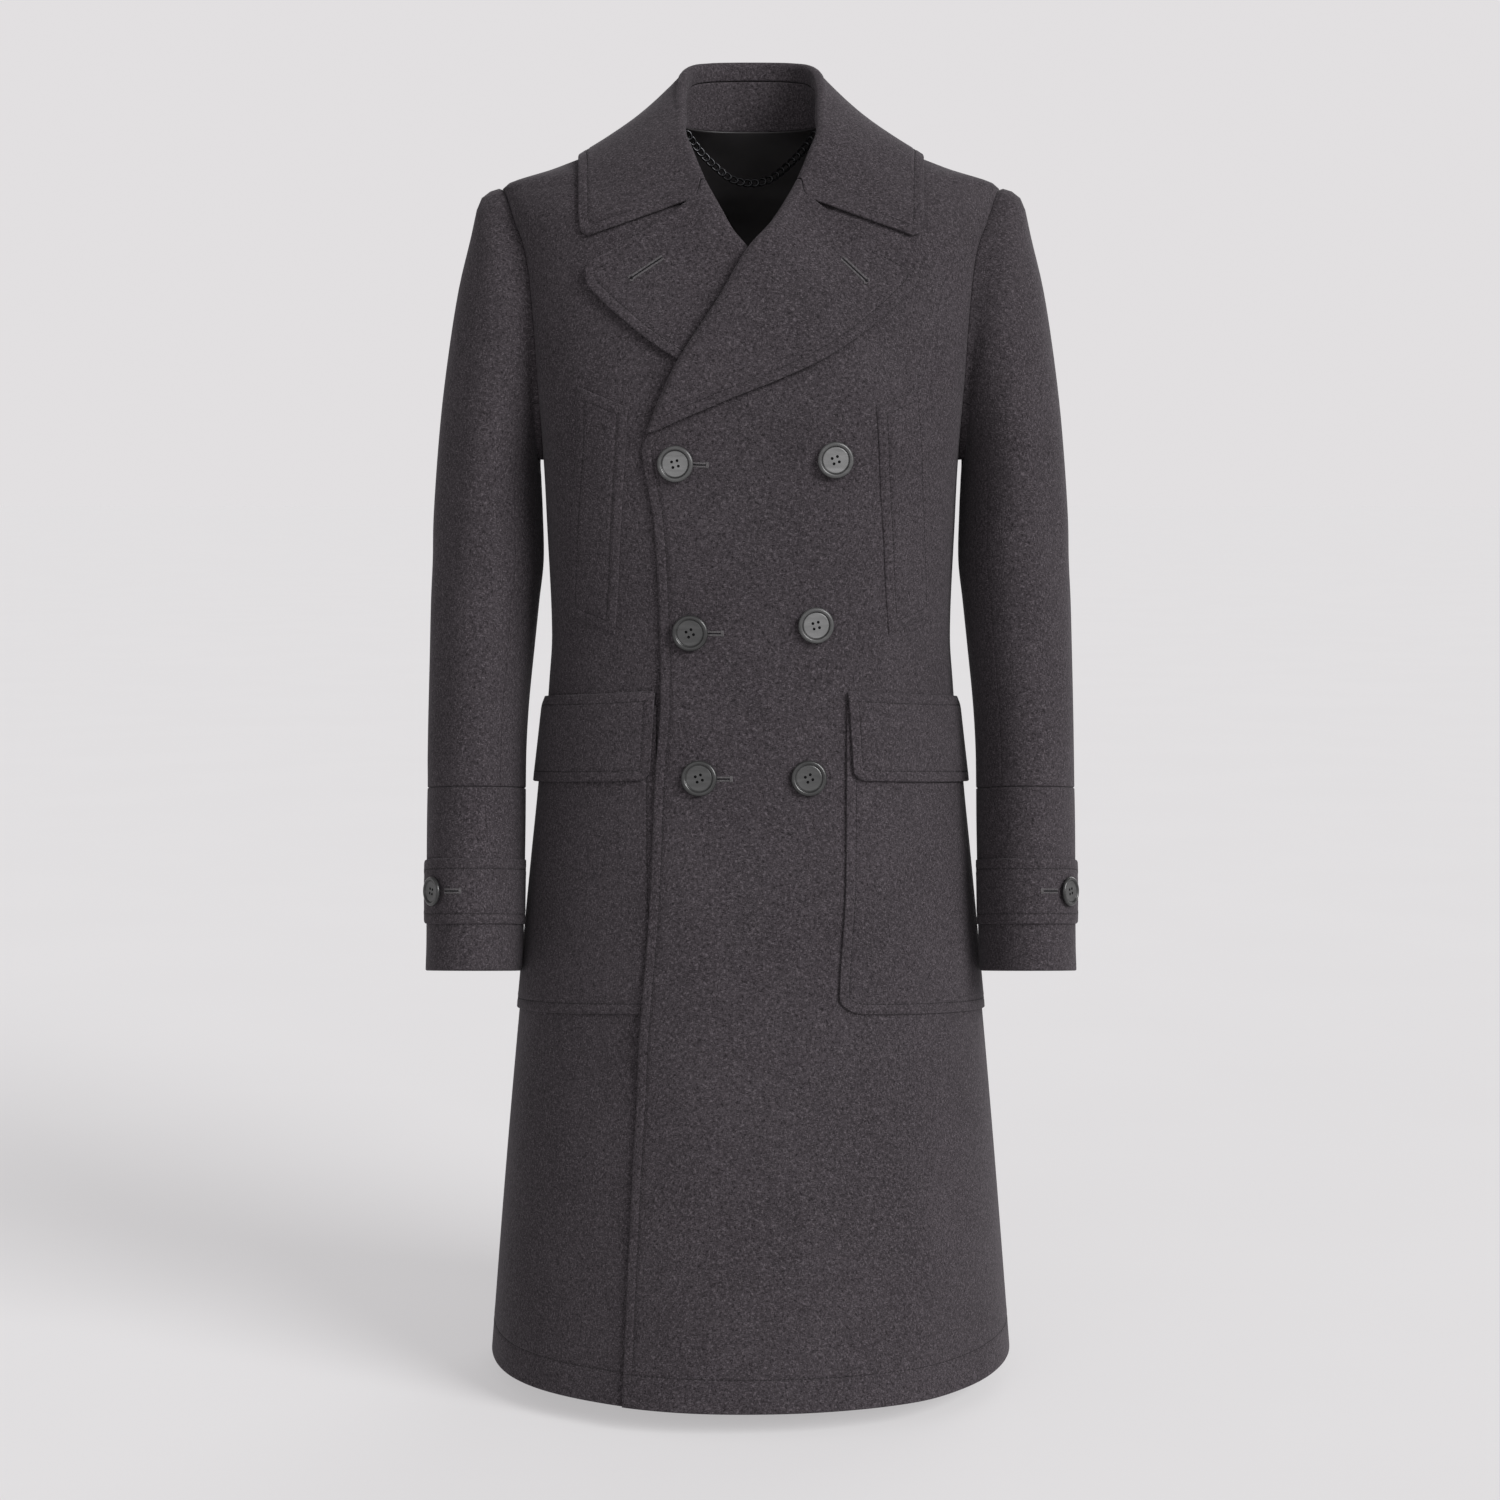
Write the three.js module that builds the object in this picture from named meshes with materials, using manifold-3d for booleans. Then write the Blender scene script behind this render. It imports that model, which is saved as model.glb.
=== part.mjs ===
// A double-breasted coat, filled out as if worn, hollow, with open neck, hem and cuffs.
// Millimetres. +Z is up, the front faces -Y, +X is the wearer's left.
// The origin is in the middle of the base of the neck.
import * as THREE from 'three';
import Module from 'manifold-3d';

const wasm = await Module();
wasm.setup();

// Cloth and seams
const CLOTH = 2.2;
const COLLAR_CLOTH = 2.4;
const POCKET_CLOTH = 2.0;
const STRAP_CLOTH = 1.8;
const LINING = 1.0;
const SEAM = 0.3;
const LAYER = 3.0;          // from the middle of one cloth to the middle of the cloth on it
const ROLL = 4.0;           // radius of the soft fold of lapel and collar

// Levels, down from the base of the neck
const HEM = -1064;
const NECK = -1;
const SHOULDER = -56;
const LINING_END = -310;
const BREAK = -264;         // where the lapel's roll meets the front edge

// The trunk: level sections, each half an oval in front and half an oval behind.
const TRUNK = [
  { level: HEM, half: 227.6, front: 192.9, back: 181, square: 2.2 },
  { level: -900, half: 213.6, front: 169.5, back: 155, square: 2.27 },
  { level: -794, half: 204, front: 157, back: 142, square: 2.3 },
  { level: -634, half: 188.3, front: 139, back: 123, square: 2.35 },
  { level: -560, half: 180.5, front: 131.5, back: 111, square: 2.4 },
  { level: -475, half: 173.3, front: 126.5, back: 101, square: 2.45 },
  { level: -434, half: 170.6, front: 126, back: 99, square: 2.5 },
  { level: -334, half: 174.8, front: 132, back: 108, square: 2.7 },
  { level: -266, half: 178.5, front: 132, back: 117, square: 2.9 },
  { level: -204, half: 185.5, front: 126, back: 121, square: 3 },
  { level: -158, half: 191, front: 118, back: 121, square: 3 },
  { level: -109, half: 196.5, front: 106, back: 117, square: 3 },
  { level: -84, half: 203.4, front: 98, back: 112, square: 2.9 },
  { level: -66, half: 208.2, front: 88, back: 105, square: 2.5 },
  { level: SHOULDER, half: 210.5, front: 81, back: 98, square: 2.15 },
  { level: -40, half: 167.5, front: 74, back: 92, square: 2.15 },
  { level: -21, half: 118, front: 63, back: 82, square: 2.1 },
  { level: NECK, half: 65, front: 50, back: 64, square: 2.1 },
  { level: 7, half: 44, front: 44, back: 58, square: 2 },
];

// The armhole is an egg on the trunk.
const ARMHOLE = { middle: -170.5, half: 114.5, front: 60, back: 66 };

// Inner edge of a front: neck seam, roll of the lapel, then the front edge down to the hem.
const OPENING = [
  { level: HEM, x: -105.9 },
  { level: -897, x: -98.8 },
  { level: -759, x: -90.6 },
  { level: -647, x: -82 },
  { level: -548, x: -78 },
  { level: -482, x: -73.4 },
  { level: -428, x: -74.5 },
  { level: -377, x: -76.3 },
  { level: -333, x: -79.3 },
  { level: -298, x: -85.7 },
  { level: -276, x: -88.6 },
  { level: -259.5, x: -80 },
  { level: -207.9, x: -54.5 },
  { level: -158.6, x: -22.5 },
  { level: -114.5, x: 4.3 },
  { level: -99, x: 19 },
  { level: -76.8, x: 33 },
  { level: -61.6, x: 41 },
  { level: -46, x: 47.5 },
  { level: -20, x: 57.5 },
  { level: NECK, x: 63.5 },
];

// Outer edge of a lapel, from the low end at the break up to the corner at the notch.
const LAPEL_EDGE = [
  { level: -262.5, x: -77.5 },
  { level: -253.1, x: -55.7 },
  { level: -238.6, x: -20.5 },
  { level: -224.5, x: 16.7 },
  { level: -207, x: 55 },
  { level: -190.5, x: 81 },
  { level: -173.5, x: 102 },
  { level: -156, x: 121 },
  { level: -140, x: 133.5 },
  { level: -132.5, x: 134.5 },
  { level: -125, x: 130.5 },
];
const NOTCH = { x: 43.8, level: -74.6 };

// The collar behind and beside the neck, from the middle of the back. Its seam is placed by
// the turn round the neck, or by level on the front. Out is the way from stand to fall.
const COLLAR = [
  { turn: 180, fold: [0, 66, 59], out: [0, 1, 0], edge: [0, 84, -18] },
  { turn: 162, fold: [19.5, 64.5, 58.6], out: [0.28, 0.96, 0], edge: [37, 84, -19] },
  { turn: 144, fold: [37, 56.5, 57], out: [0.58, 0.81, 0], edge: [73, 77, -21] },
  { turn: 126, fold: [50.5, 41, 53], out: [0.82, 0.57, 0], edge: [105, 61, -24] },
  { turn: 108, fold: [57, 22, 45], out: [0.97, 0.24, 0], edge: [129, 36, -28] },
  { turn: 90.4, fold: [59, 1, 32], out: [1, 0, 0.1], edge: [141, 6, -31] },
  { level: NECK, fold: [58.8, -14, 21], out: [0.95, -0.2, 0.2], edge: [144, -22, -33.5] },
  { level: -9, fold: [57.2, -36, 3], out: [0.82, -0.42, 0.38], edge: [144.5, -48, -39] },
];

// The collar in front, where it lies on the shoulder: its seam's level and its outer edge
const COLLAR_FRONT = [
  { level: -20, edge: [144, -68, -53] },
  { level: -34, edge: [143, -84, -71] },
  { level: -46, edge: [142, -90, -87] },
  { level: SHOULDER, edge: [139.5, -93.5, -98.5] },
];
const COLLAR_TIP = { x: 132, level: -102.8 };
const STAND_SEAM = 12;      // from the fold down to the seam between stand and fall

// Sleeve head: rings that swing from the armhole to level. Outer and under points in x, z.
const SLEEVE_HEAD = [
  { outer: [226.5, -64.5], under: [183.5, -288], deep: 65.5, bow: 10 },
  { outer: [232.5, -76], under: [183.3, -290], deep: 69, bow: 7 },
  { outer: [239, -101], under: [183, -293], deep: 71.5, bow: 4 },
  { outer: [248.5, -140], under: [182.6, -296], deep: 73, bow: 2 },
  { outer: [257.5, -195], under: [182.2, -300], deep: 74, bow: 0.5 },
  { outer: [264.6, -252], under: [181.9, -306], deep: 74, bow: 0 },
];

// Sleeve below the head: oval rings, tilted as the forearm comes forward.
const SLEEVE = [
  { level: -285, x: 225.2, wide: 43.4, y: 2, deep: 74, tilt: 0 },
  { level: -319, x: 225.9, wide: 44.7, y: 1, deep: 73, tilt: 0 },
  { level: -371, x: 226.2, wide: 46, y: -3, deep: 71, tilt: 1 },
  { level: -405, x: 228.9, wide: 45, y: -6, deep: 69.5, tilt: 2.5 },
  { level: -439, x: 231.1, wide: 43.7, y: -10, deep: 68, tilt: 4 },
  { level: -491, x: 234.1, wide: 41.6, y: -17, deep: 65, tilt: 6 },
  { level: -542, x: 235.8, wide: 40.7, y: -24, deep: 62, tilt: 7 },
  { level: -594, x: 236.3, wide: 41, y: -32, deep: 59, tilt: 8.5 },
  { level: -645, x: 236.6, wide: 40.7, y: -40, deep: 56.5, tilt: 9.5 },
  { level: -697, x: 237, wide: 40.3, y: -47.5, deep: 54, tilt: 10 },
  { level: -721, x: 238, wide: 39.9, y: -51, deep: 53, tilt: 10.5 },
];
const CUFF_SEAM = -566;
const CUFF_END = -721;
const SLEEVE_SPLIT = 126;   // degrees from the outermost line to each lengthwise seam

// Strap round the cuff: turn from the outermost line, and half its width there.
const STRAP_LEVEL = -654.5;
const STRAP = [
  { turn: 174, half: 27.4 },
  { turn: 162, half: 27.4 },
  { turn: 144, half: 27.4 },
  { turn: 126, half: 27.4 },
  { turn: 108, half: 27.4 },
  { turn: 90, half: 27.4 },
  { turn: 72, half: 27.4 },
  { turn: 54, half: 27.4 },
  { turn: 36, half: 27.4 },
  { turn: 18, half: 26.8 },
  { turn: 9, half: 23.6 },
  { turn: 0, half: 18.4 },
  { turn: -5, half: 12 },
  { turn: -8, half: 5 },
];
const CUFF_BUTTON_TURN = 46;

// Patch pocket: its front edge, and its top and bottom by turn round the trunk
const POCKET_FRONT = [
  { level: -741, x: 74 },
  { level: -728, x: 72 },
  { level: -630, x: 77 },
  { level: -487, x: 77.5 },
];
const POCKET_ENDS = [
  { turn: 20, top: -487, bottom: -739 },
  { turn: 32, top: -487, bottom: -740.5 },
  { turn: 50, top: -491, bottom: -744.5 },
  { turn: 68, top: -495.5, bottom: -751 },
  { turn: 90, top: -501, bottom: -762 },
];
const POCKET_CORNER = [
  // turn past the front edge, and how far the rounded corner lifts the bottom there
  { past: 0, raise: 12 },
  { past: 1.2, raise: 5.5 },
  { past: 3.4, raise: 0 },
];
const SIDE_TURN = 88.4;

// Flap over the pocket's mouth
const FLAP_ENDS = [
  { turn: 20, top: -475, bottom: -548.5 },
  { turn: 32, top: -475, bottom: -549 },
  { turn: 50, top: -478.5, bottom: -552 },
  { turn: 68, top: -483, bottom: -556.5 },
  { turn: 90, top: -489, bottom: -563.5 },
];
const FLAP_CORNER = [
  { past: 0, raise: 8.5 },
  { past: 1, raise: 3 },
  { past: 2.6, raise: 0 },
];
const FLAP_DROP = [
  { down: 0, lift: 0 },
  { down: 0.14, lift: 2.5 },
  { down: 0.55, lift: 2.9 },
  { down: 1, lift: 3.1 },
];

// Chest welt: its two long edges
const WELT = [
  { down: 0, front: [100, -243], back: [142.3, -225] },
  { down: 0.2, front: [102.4, -280], back: [142.8, -268] },
  { down: 0.4, front: [104.8, -318], back: [145.6, -310] },
  { down: 0.6, front: [107.2, -355], back: [147.8, -350] },
  { down: 0.8, front: [109, -391], back: [149.2, -387] },
  { down: 1, front: [112, -429], back: [149.6, -414] },
];

// Buttons: place on the left front, and the gap under the foot that clears the cloth's curve
const BUTTONS = [
  { name: 'front_button_1', x: -61.1, level: -288.6, gap: 0.25 },
  { name: 'front_button_2', x: 67.5, level: -285.4, gap: 0.9 },
  { name: 'front_button_3', x: -49.3, level: -426.5, gap: 1.05 },
  { name: 'front_button_4', x: 52.4, level: -420, gap: 0.9 },
  { name: 'front_button_5', x: -42, level: -546.4, gap: 1.17 },
  { name: 'front_button_6', x: 46.9, level: -546.5, gap: 0.4 },
];
const BUTTON_RADIUS = 14.8;
const CUFF_BUTTON_RADIUS = 12.4;
const BUTTON_PROFILE = [
  // radius as a share of the button's, height in millimetres
  { share: 0, height: 0 },
  { share: 0.8, height: 0 },
  { share: 1, height: 2.1 },
  { share: 0.94, height: 4.2 },
  { share: 0.74, height: 4 },
  { share: 0.64, height: 2.8 },
  { share: 0, height: 2.8 },
];
const BUTTON_SIDES = 14;

// Hanger chain: half its line, from the middle out
const CHAIN = [
  { x: 0, y: 47, z: -45.5 },
  { x: 9.5, y: 46.8, z: -44.4 },
  { x: 18.5, y: 46, z: -41 },
  { x: 30, y: 43, z: -32.5 },
  { x: 43.5, y: 37, z: -20 },
  { x: 55.9, y: 27.4, z: -4.4 },
];
const CHAIN_LINKS = 20;

const radians = (degrees) => (degrees * Math.PI) / 180;
const mix = (a, b, share) => a + (b - a) * share;
const vector = (x, y, z) => new THREE.Vector3(x, y, z);

function ease(share) {
  const held = Math.min(Math.max(share, 0), 1);
  return held * held * (3 - 2 * held);
}

// A smooth line through one column of a table, without overshoot.
function curve(table, key, column) {
  const rows = [...table].sort((a, b) => a[key] - b[key]);
  const x = rows.map((row) => row[key]);
  const y = rows.map((row) => row[column]);
  const step = x.slice(1).map((value, i) => value - x[i]);
  const rise = step.map((width, i) => (y[i + 1] - y[i]) / width);
  const slope = x.map((_, i) => {
    if (i === 0) return rise[0];
    if (i === x.length - 1) return rise[i - 1];
    if (rise[i - 1] * rise[i] <= 0) return 0;
    const near = 2 * step[i] + step[i - 1];
    const far = step[i] + 2 * step[i - 1];
    return (near + far) / (near / rise[i - 1] + far / rise[i]);
  });
  return (value) => {
    const at = Math.min(Math.max(value, x[0]), x[x.length - 1]);
    let i = 0;
    while (i < x.length - 2 && at > x[i + 1]) i += 1;
    const t = (at - x[i]) / step[i];
    const start = y[i] * (1 + 2 * t) + step[i] * slope[i] * t;
    const end = y[i + 1] * (3 - 2 * t) - step[i] * slope[i + 1] * (1 - t);
    return start * (1 - t) ** 2 + end * t * t;
  };
}

const trunkHalf = curve(TRUNK, 'level', 'half');
const trunkFront = curve(TRUNK, 'level', 'front');
const trunkBack = curve(TRUNK, 'level', 'back');
const trunkSquare = curve(TRUNK, 'level', 'square');
const opening = curve(OPENING, 'level', 'x');
const lapelEdge = curve(LAPEL_EDGE, 'level', 'x');
const pocketFront = curve(POCKET_FRONT, 'level', 'x');

// The trunk's surface: 1 on it, more outside it
function trunkField(x, y, level) {
  const power = trunkSquare(level);
  const depth = y < 0 ? trunkFront(level) : trunkBack(level);
  const across = (Math.abs(x) / trunkHalf(level)) ** power;
  return (across + (Math.abs(y) / depth) ** power) ** (1 / power);
}

function trunkSlope(point) {
  const d = 0.05;
  const { x, y, z } = point;
  return vector(
    trunkField(x + d, y, z) - trunkField(x - d, y, z),
    trunkField(x, y + d, z) - trunkField(x, y - d, z),
    trunkField(x, y, z + d) - trunkField(x, y, z - d),
  ).divideScalar(2 * d);
}

// A point on the trunk by its turn from the front, in degrees, and its level
function onTrunk(turn, level, lift = 0) {
  const s = Math.sin(radians(turn));
  const c = Math.cos(radians(turn));
  const reach = 1 / trunkField(s, -c, level);
  const point = vector(reach * s, -reach * c, level);
  const normal = trunkSlope(point).normalize();
  return { point: point.addScaledVector(normal, lift), normal };
}

// Turn of the point of the trunk's front at x
function turnAt(x, level) {
  const power = trunkSquare(level);
  const left = 1 - Math.min(Math.abs(x) / trunkHalf(level), 1) ** power;
  const y = trunkFront(level) * left ** (1 / power);
  return (Math.atan2(x, y) * 180) / Math.PI;
}

const onFront = (x, level, lift) => onTrunk(turnAt(x, level), level, lift);

// Moves a point out to a least distance from the trunk, or right onto that distance.
function keepOff(point, distance, exact = false) {
  const moved = point.clone();
  for (let pass = 0; pass < 6; pass += 1) {
    const slope = trunkSlope(moved);
    const steep = slope.length();
    const away = (trunkField(moved.x, moved.y, moved.z) - 1) / steep;
    if (exact || away < distance) moved.addScaledVector(slope, (distance - away) / steep);
  }
  return moved;
}

// Lift of the left front where it lies over the right front, its lapel and its pocket
function overLift(x, level) {
  const overFront = ease((75 - opening(level) - x) / 45);
  const inLapel = ease((x + lapelEdge(level) + 66) / 45) * ease((level + 312) / 44);
  const inPocket = ease((-20 - x) / 45) * ease((-445 - level) / 40) * ease((level + 812) / 45);
  return LAYER * overFront * (1 + inLapel) + 2.9 * inPocket;
}

const frontLift = (side, x, level) => (side > 0 ? overLift(x, level) : 0);

// Turn of the armhole's edge at a level, in front or behind
function armholeTurn(level, behind) {
  const height = (level - ARMHOLE.middle) / ARMHOLE.half;
  if (Math.abs(height) >= 1) return 90;
  const angle = Math.acos(height);
  const reach = Math.sin(angle) ** (height > 0 ? 1 : 0.8);
  const y = reach * (behind ? ARMHOLE.back : ARMHOLE.front);
  const power = trunkSquare(level);
  const depth = behind ? trunkBack(level) : trunkFront(level);
  const x = trunkHalf(level) * (1 - (y / depth) ** power) ** (1 / power);
  return (Math.atan2(x, behind ? -y : y) * 180) / Math.PI;
}

// A closed cloth solid from a grid of middle points and normals
function cloth(rows, thickness, { slant = false, loop = false } = {}) {
  const points = [];
  const normals = [];
  const index = [];
  rows.forEach((row, i) => {
    index.push([]);
    row.forEach((entry, j) => {
      const beside = [index[i][j - 1], i > 0 ? index[i - 1][j] : undefined];
      let at = beside.find((k) => k !== undefined && points[k].distanceTo(entry.point) < 0.05);
      if (at === undefined) {
        at = points.length;
        points.push(entry.point);
        normals.push(entry.normal);
      }
      index[i].push(at);
    });
    if (loop) index[i].push(index[i][0]);
  });
  const faces = [];
  for (let i = 0; i + 1 < index.length; i += 1) {
    for (let j = 0; j + 1 < index[i].length; j += 1) {
      const [a, b] = [index[i][j], index[i][j + 1]];
      const [d, c] = [index[i + 1][j], index[i + 1][j + 1]];
      const pair = slant ? [[a, b, c], [a, c, d]] : [[a, b, d], [b, c, d]];
      faces.push(...pair.filter(([p, q, r]) => p !== q && q !== r && r !== p));
    }
  }
  const count = points.length;
  const edges = new Map();
  faces.forEach(([p, q, r]) => {
    [[p, q], [q, r], [r, p]].forEach(([from, to]) => edges.set(`${from},${to}`, [from, to]));
  });
  const solid = [];
  faces.forEach(([p, q, r]) => {
    solid.push([p, q, r], [p + count, r + count, q + count]);
  });
  edges.forEach(([from, to]) => {
    if (edges.has(`${to},${from}`)) return;
    solid.push([from, from + count, to], [to, from + count, to + count]);
  });
  const half = thickness / 2;
  const outer = points.map((point, k) => point.clone().addScaledVector(normals[k], half));
  const inner = points.map((point, k) => point.clone().addScaledVector(normals[k], -half));
  return closedMesh([...outer, ...inner], solid);
}

function closedMesh(points, faces) {
  let volume = 0;
  faces.forEach(([p, q, r]) => {
    volume += points[p].dot(points[q].clone().cross(points[r]));
  });
  const turned = volume < 0 ? faces.map(([p, q, r]) => [p, r, q]) : faces;
  const geometry = new THREE.BufferGeometry();
  const flat = points.flatMap((point) => [point.x, point.y, point.z]);
  geometry.setAttribute('position', new THREE.Float32BufferAttribute(flat, 3));
  geometry.setIndex(turned.flat());
  geometry.computeVertexNormals();
  return geometry;
}

// Normals of a grid of points from its neighbours
function withNormals(rows, loop = false) {
  const wide = rows[0].length;
  const pick = (row, j) => (loop ? row[(j + wide) % wide] : row[Math.min(Math.max(j, 0), wide - 1)]);
  return rows.map((row, i) => row.map((point, j) => {
    const along = vector(0, 0, 0);
    for (let reach = 1; along.lengthSq() < 0.01 && reach < 4; reach += 1) {
      along.subVectors(pick(row, j + reach), pick(row, j - reach));
    }
    const down = vector(0, 0, 0);
    for (let reach = 1; down.lengthSq() < 0.01 && reach < 4; reach += 1) {
      const below = rows[Math.min(i + reach, rows.length - 1)];
      down.subVectors(below[j], rows[Math.max(i - reach, 0)][j]);
    }
    return { point, normal: along.cross(down).normalize() };
  }));
}

const mirrored = (entry, side) => ({
  point: vector(entry.point.x * side, entry.point.y, entry.point.z),
  normal: vector(entry.normal.x * side, entry.normal.y, entry.normal.z),
});
const onSide = (rows, side) => rows.map((row) => row.map((entry) => mirrored(entry, side)));

// Levels shared by the pieces of the trunk
const armholeLevel = (angle) => ARMHOLE.middle + ARMHOLE.half * Math.cos(radians(angle));
const ARMHOLE_LEVELS = [18, 36, 54, 72, 90, 108, 126, 144, 162, 180].map(armholeLevel);
const downwards = (a, b) => b - a;
const FRONT_LEVELS = [
  NECK, -9, -20, -34, -46, SHOULDER, -119, -153,
  ...ARMHOLE_LEVELS,
  -310, -350, -395, -440, -490, -550, -620, -690, -760, -850, -950, HEM,
].sort(downwards);
const BACK_LEVELS = [
  NECK, -12, -28, -42, SHOULDER,
  ...ARMHOLE_LEVELS,
  LINING_END, -380, -440, -510, -600, -720, -880, HEM,
].sort(downwards);

// Turns of one row: shared columns, held between two edges
function rowTurns(low, high, step) {
  const turns = [];
  for (let turn = step === 7.5 ? -45 : 72; turn <= 180; turn += step) {
    let held = Math.min(Math.max(turn, low), high);
    if (held - low < 0.9) held = low;
    if (high - held < 0.9) held = high;
    turns.push(held);
  }
  return turns;
}

function front(side) {
  const gap = 0.06;
  const rows = FRONT_LEVELS.map((level) => {
    const high = armholeTurn(level, false) - gap;
    const low = turnAt(opening(level), level);
    return rowTurns(low, high, 7.5).map((turn) => {
      const flat = onTrunk(turn, level);
      return onTrunk(turn, level, frontLift(side, flat.point.x, level));
    });
  });
  return cloth(onSide(rows, side), CLOTH, { slant: side > 0 });
}

function back(side) {
  const gap = 0.06;
  const rows = BACK_LEVELS.map((level) => {
    const low = armholeTurn(level, true) + gap;
    return rowTurns(low, 180 - gap, 9).map((turn) => onTrunk(turn, level));
  });
  return cloth(onSide(rows, side), CLOTH, { slant: side > 0 });
}

function backLining() {
  const depth = -(CLOTH + LINING) / 2 - 1.3;
  const rows = BACK_LEVELS.filter((level) => level >= LINING_END).map((level) => {
    const half = rowTurns(armholeTurn(level, true) + 1.2, 180, 18);
    const turns = [...half, ...half.slice(0, -1).reverse().map((turn) => 360 - turn)];
    return turns.map((turn) => onTrunk(turn, level, depth));
  });
  return cloth(rows, LINING, { slant: true });
}

// Lapel: an arc over the roll, then the cloth settles on the front.
function rollRadius(side, level) {
  if (side > 0) return mix(LAYER / 2, ROLL, ease((level + 272) / 40));
  return mix(LAYER / 2, ROLL, ease((level + 118) / 35));
}

function settle(side, radius, distance) {
  const flat = LAYER + (side > 0 ? 1 : 0.15);
  return mix(2 * radius, flat, ease(distance / 45));
}

const ARC = [45, 90, 135, 180];
const LAPEL_FLAT = [0.09, 0.24, 0.42, 0.6, 0.8, 1];

// Arc over a roll: starts at the front's edge and ends above it, turned back.
function rollArc(side, start, toward, radius, gap = SEAM) {
  const place = (x, level) => onFront(x, level, frontLift(side, x, level));
  const { point, normal } = place(start.x, start.level);
  const ahead = new THREE.Vector2(toward.x - start.x, toward.level - start.level).normalize();
  const away = place(start.x + ahead.x, start.level + ahead.y).point.sub(point);
  away.addScaledVector(normal, -away.dot(normal)).normalize();
  const first = (Math.asin(gap / radius) * 180) / Math.PI;
  return [first, ...ARC].map((angle) => {
    const out = away.clone().multiplyScalar(-Math.sin(radians(angle)));
    out.addScaledVector(normal, -Math.cos(radians(angle)));
    const middle = point.clone().addScaledVector(normal, radius);
    return { point: middle.addScaledVector(out, radius), normal: out };
  });
}

// The cloth past the roll, settling on the front
function rollFlat(side, start, radius, stops) {
  return stops.map(({ x, level }) => {
    const distance = Math.hypot(x - start.x, level - start.level);
    return onFront(x, level, frontLift(side, x, level) + settle(side, radius, distance));
  });
}

function lapel(side) {
  const levels = FRONT_LEVELS.filter((level) => level <= armholeLevel(17) && level >= BREAK);
  const top = LAPEL_EDGE[LAPEL_EDGE.length - 1].level;
  const low = LAPEL_EDGE[0].level;
  const rows = levels.map((level, i) => {
    const share = (level - levels[0]) / (levels[levels.length - 1] - levels[0]);
    const outer = { level: mix(top, low, share ** 1.12) };
    outer.x = lapelEdge(outer.level);
    const start = { x: opening(level), level };
    const from = i === 0 ? NOTCH : start;
    const least = i === 0 ? LAPEL_FLAT[0] : 0;
    const stops = LAPEL_FLAT.map((flat) => {
      const part = (flat - least) / (1 - least);
      return { x: mix(from.x, outer.x, part), level: mix(from.level, outer.level, part) };
    });
    const radius = rollRadius(side, level);
    const arc = rollArc(side, start, outer, radius);
    return [...arc, ...rollFlat(side, start, radius, stops)];
  });
  return cloth(onSide(rows, side), CLOTH);
}

// Collar sections: neck seam, inner foot of the fold, the fold's arc, then the fall
function collarSection(row) {
  const seam = row.turn === undefined
    ? onFront(opening(row.level), row.level, 0)
    : onTrunk(row.turn, NECK);
  const fold = vector(...row.fold);
  const out = vector(...row.out).normalize();
  const rise = fold.clone().sub(seam.point);
  rise.addScaledVector(out, -rise.dot(out)).normalize();
  const middle = fold.clone().addScaledVector(rise, -ROLL);
  const foot = middle.clone().addScaledVector(out, -ROLL);
  const shift = SEAM + 0.2 + 0.5 * CLOTH * Math.abs(rise.dot(seam.normal));
  const neck = seam.point.clone().addScaledVector(rise, shift);
  return { neck, foot, middle, out, rise, edge: vector(...row.edge) };
}

const COLLAR_CLEAR = (CLOTH + COLLAR_CLOTH) / 2 + 1.3;
const FALL = [0.12, 0.3, 0.52, 0.76, 1];

function fallTo(start, place) {
  const edge = keepOff(place, COLLAR_CLEAR, true);
  return FALL.map((share) => keepOff(start.clone().lerp(edge, share), COLLAR_CLEAR));
}

// Where the seam between stand and fall crosses a section, from neck to foot
function standSeam(section) {
  const height = section.neck.distanceTo(section.foot);
  return Math.max(1 - STAND_SEAM / Math.max(height, 1), 0);
}

function fallLine(section) {
  const { neck, foot, middle, out, rise } = section;
  const line = [neck.clone().lerp(foot, standSeam(section))];
  line[0].addScaledVector(rise, standSeam(section) > 0 ? 1.6 * SEAM : 0);
  [0, ...ARC].forEach((angle) => {
    const point = middle.clone().addScaledVector(out, -ROLL * Math.cos(radians(angle)));
    line.push(point.addScaledVector(rise, ROLL * Math.sin(radians(angle))));
  });
  return [...line, ...fallTo(line[line.length - 1], section.edge)];
}

function fallLineInFront(row) {
  const start = { x: opening(row.level), level: row.level };
  const toward = { x: row.edge[0], level: row.edge[2] };
  const arc = rollArc(-1, start, toward, ROLL, 1).map(({ point }) => point);
  return [arc[0].clone(), ...arc, ...fallTo(arc[arc.length - 1], vector(...row.edge))];
}

// Last line of the collar: along the gorge to the notch, then along the collar's end
function collarEnd() {
  const start = { x: opening(armholeLevel(18)) + 0.35, level: armholeLevel(18) + 2 * SEAM };
  const corner = { x: NOTCH.x + 0.7, level: NOTCH.level + 1.1 };
  const stops = FALL.map((share) => {
    const part = (share - FALL[0]) / (1 - FALL[0]);
    const x = mix(corner.x, COLLAR_TIP.x, part);
    return { x, level: mix(corner.level, COLLAR_TIP.level, part) };
  });
  const arc = rollArc(-1, start, LAPEL_EDGE[LAPEL_EDGE.length - 1], ROLL, 1);
  const line = [...arc, ...rollFlat(-1, start, ROLL, stops)].map(({ point }) => point);
  return [line[0].clone(), ...line];
}

function bothSides(left) {
  const right = left.slice(1).reverse();
  return [...right.map((line) => line.map(({ x, y, z }) => vector(-x, y, z))), ...left];
}

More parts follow.
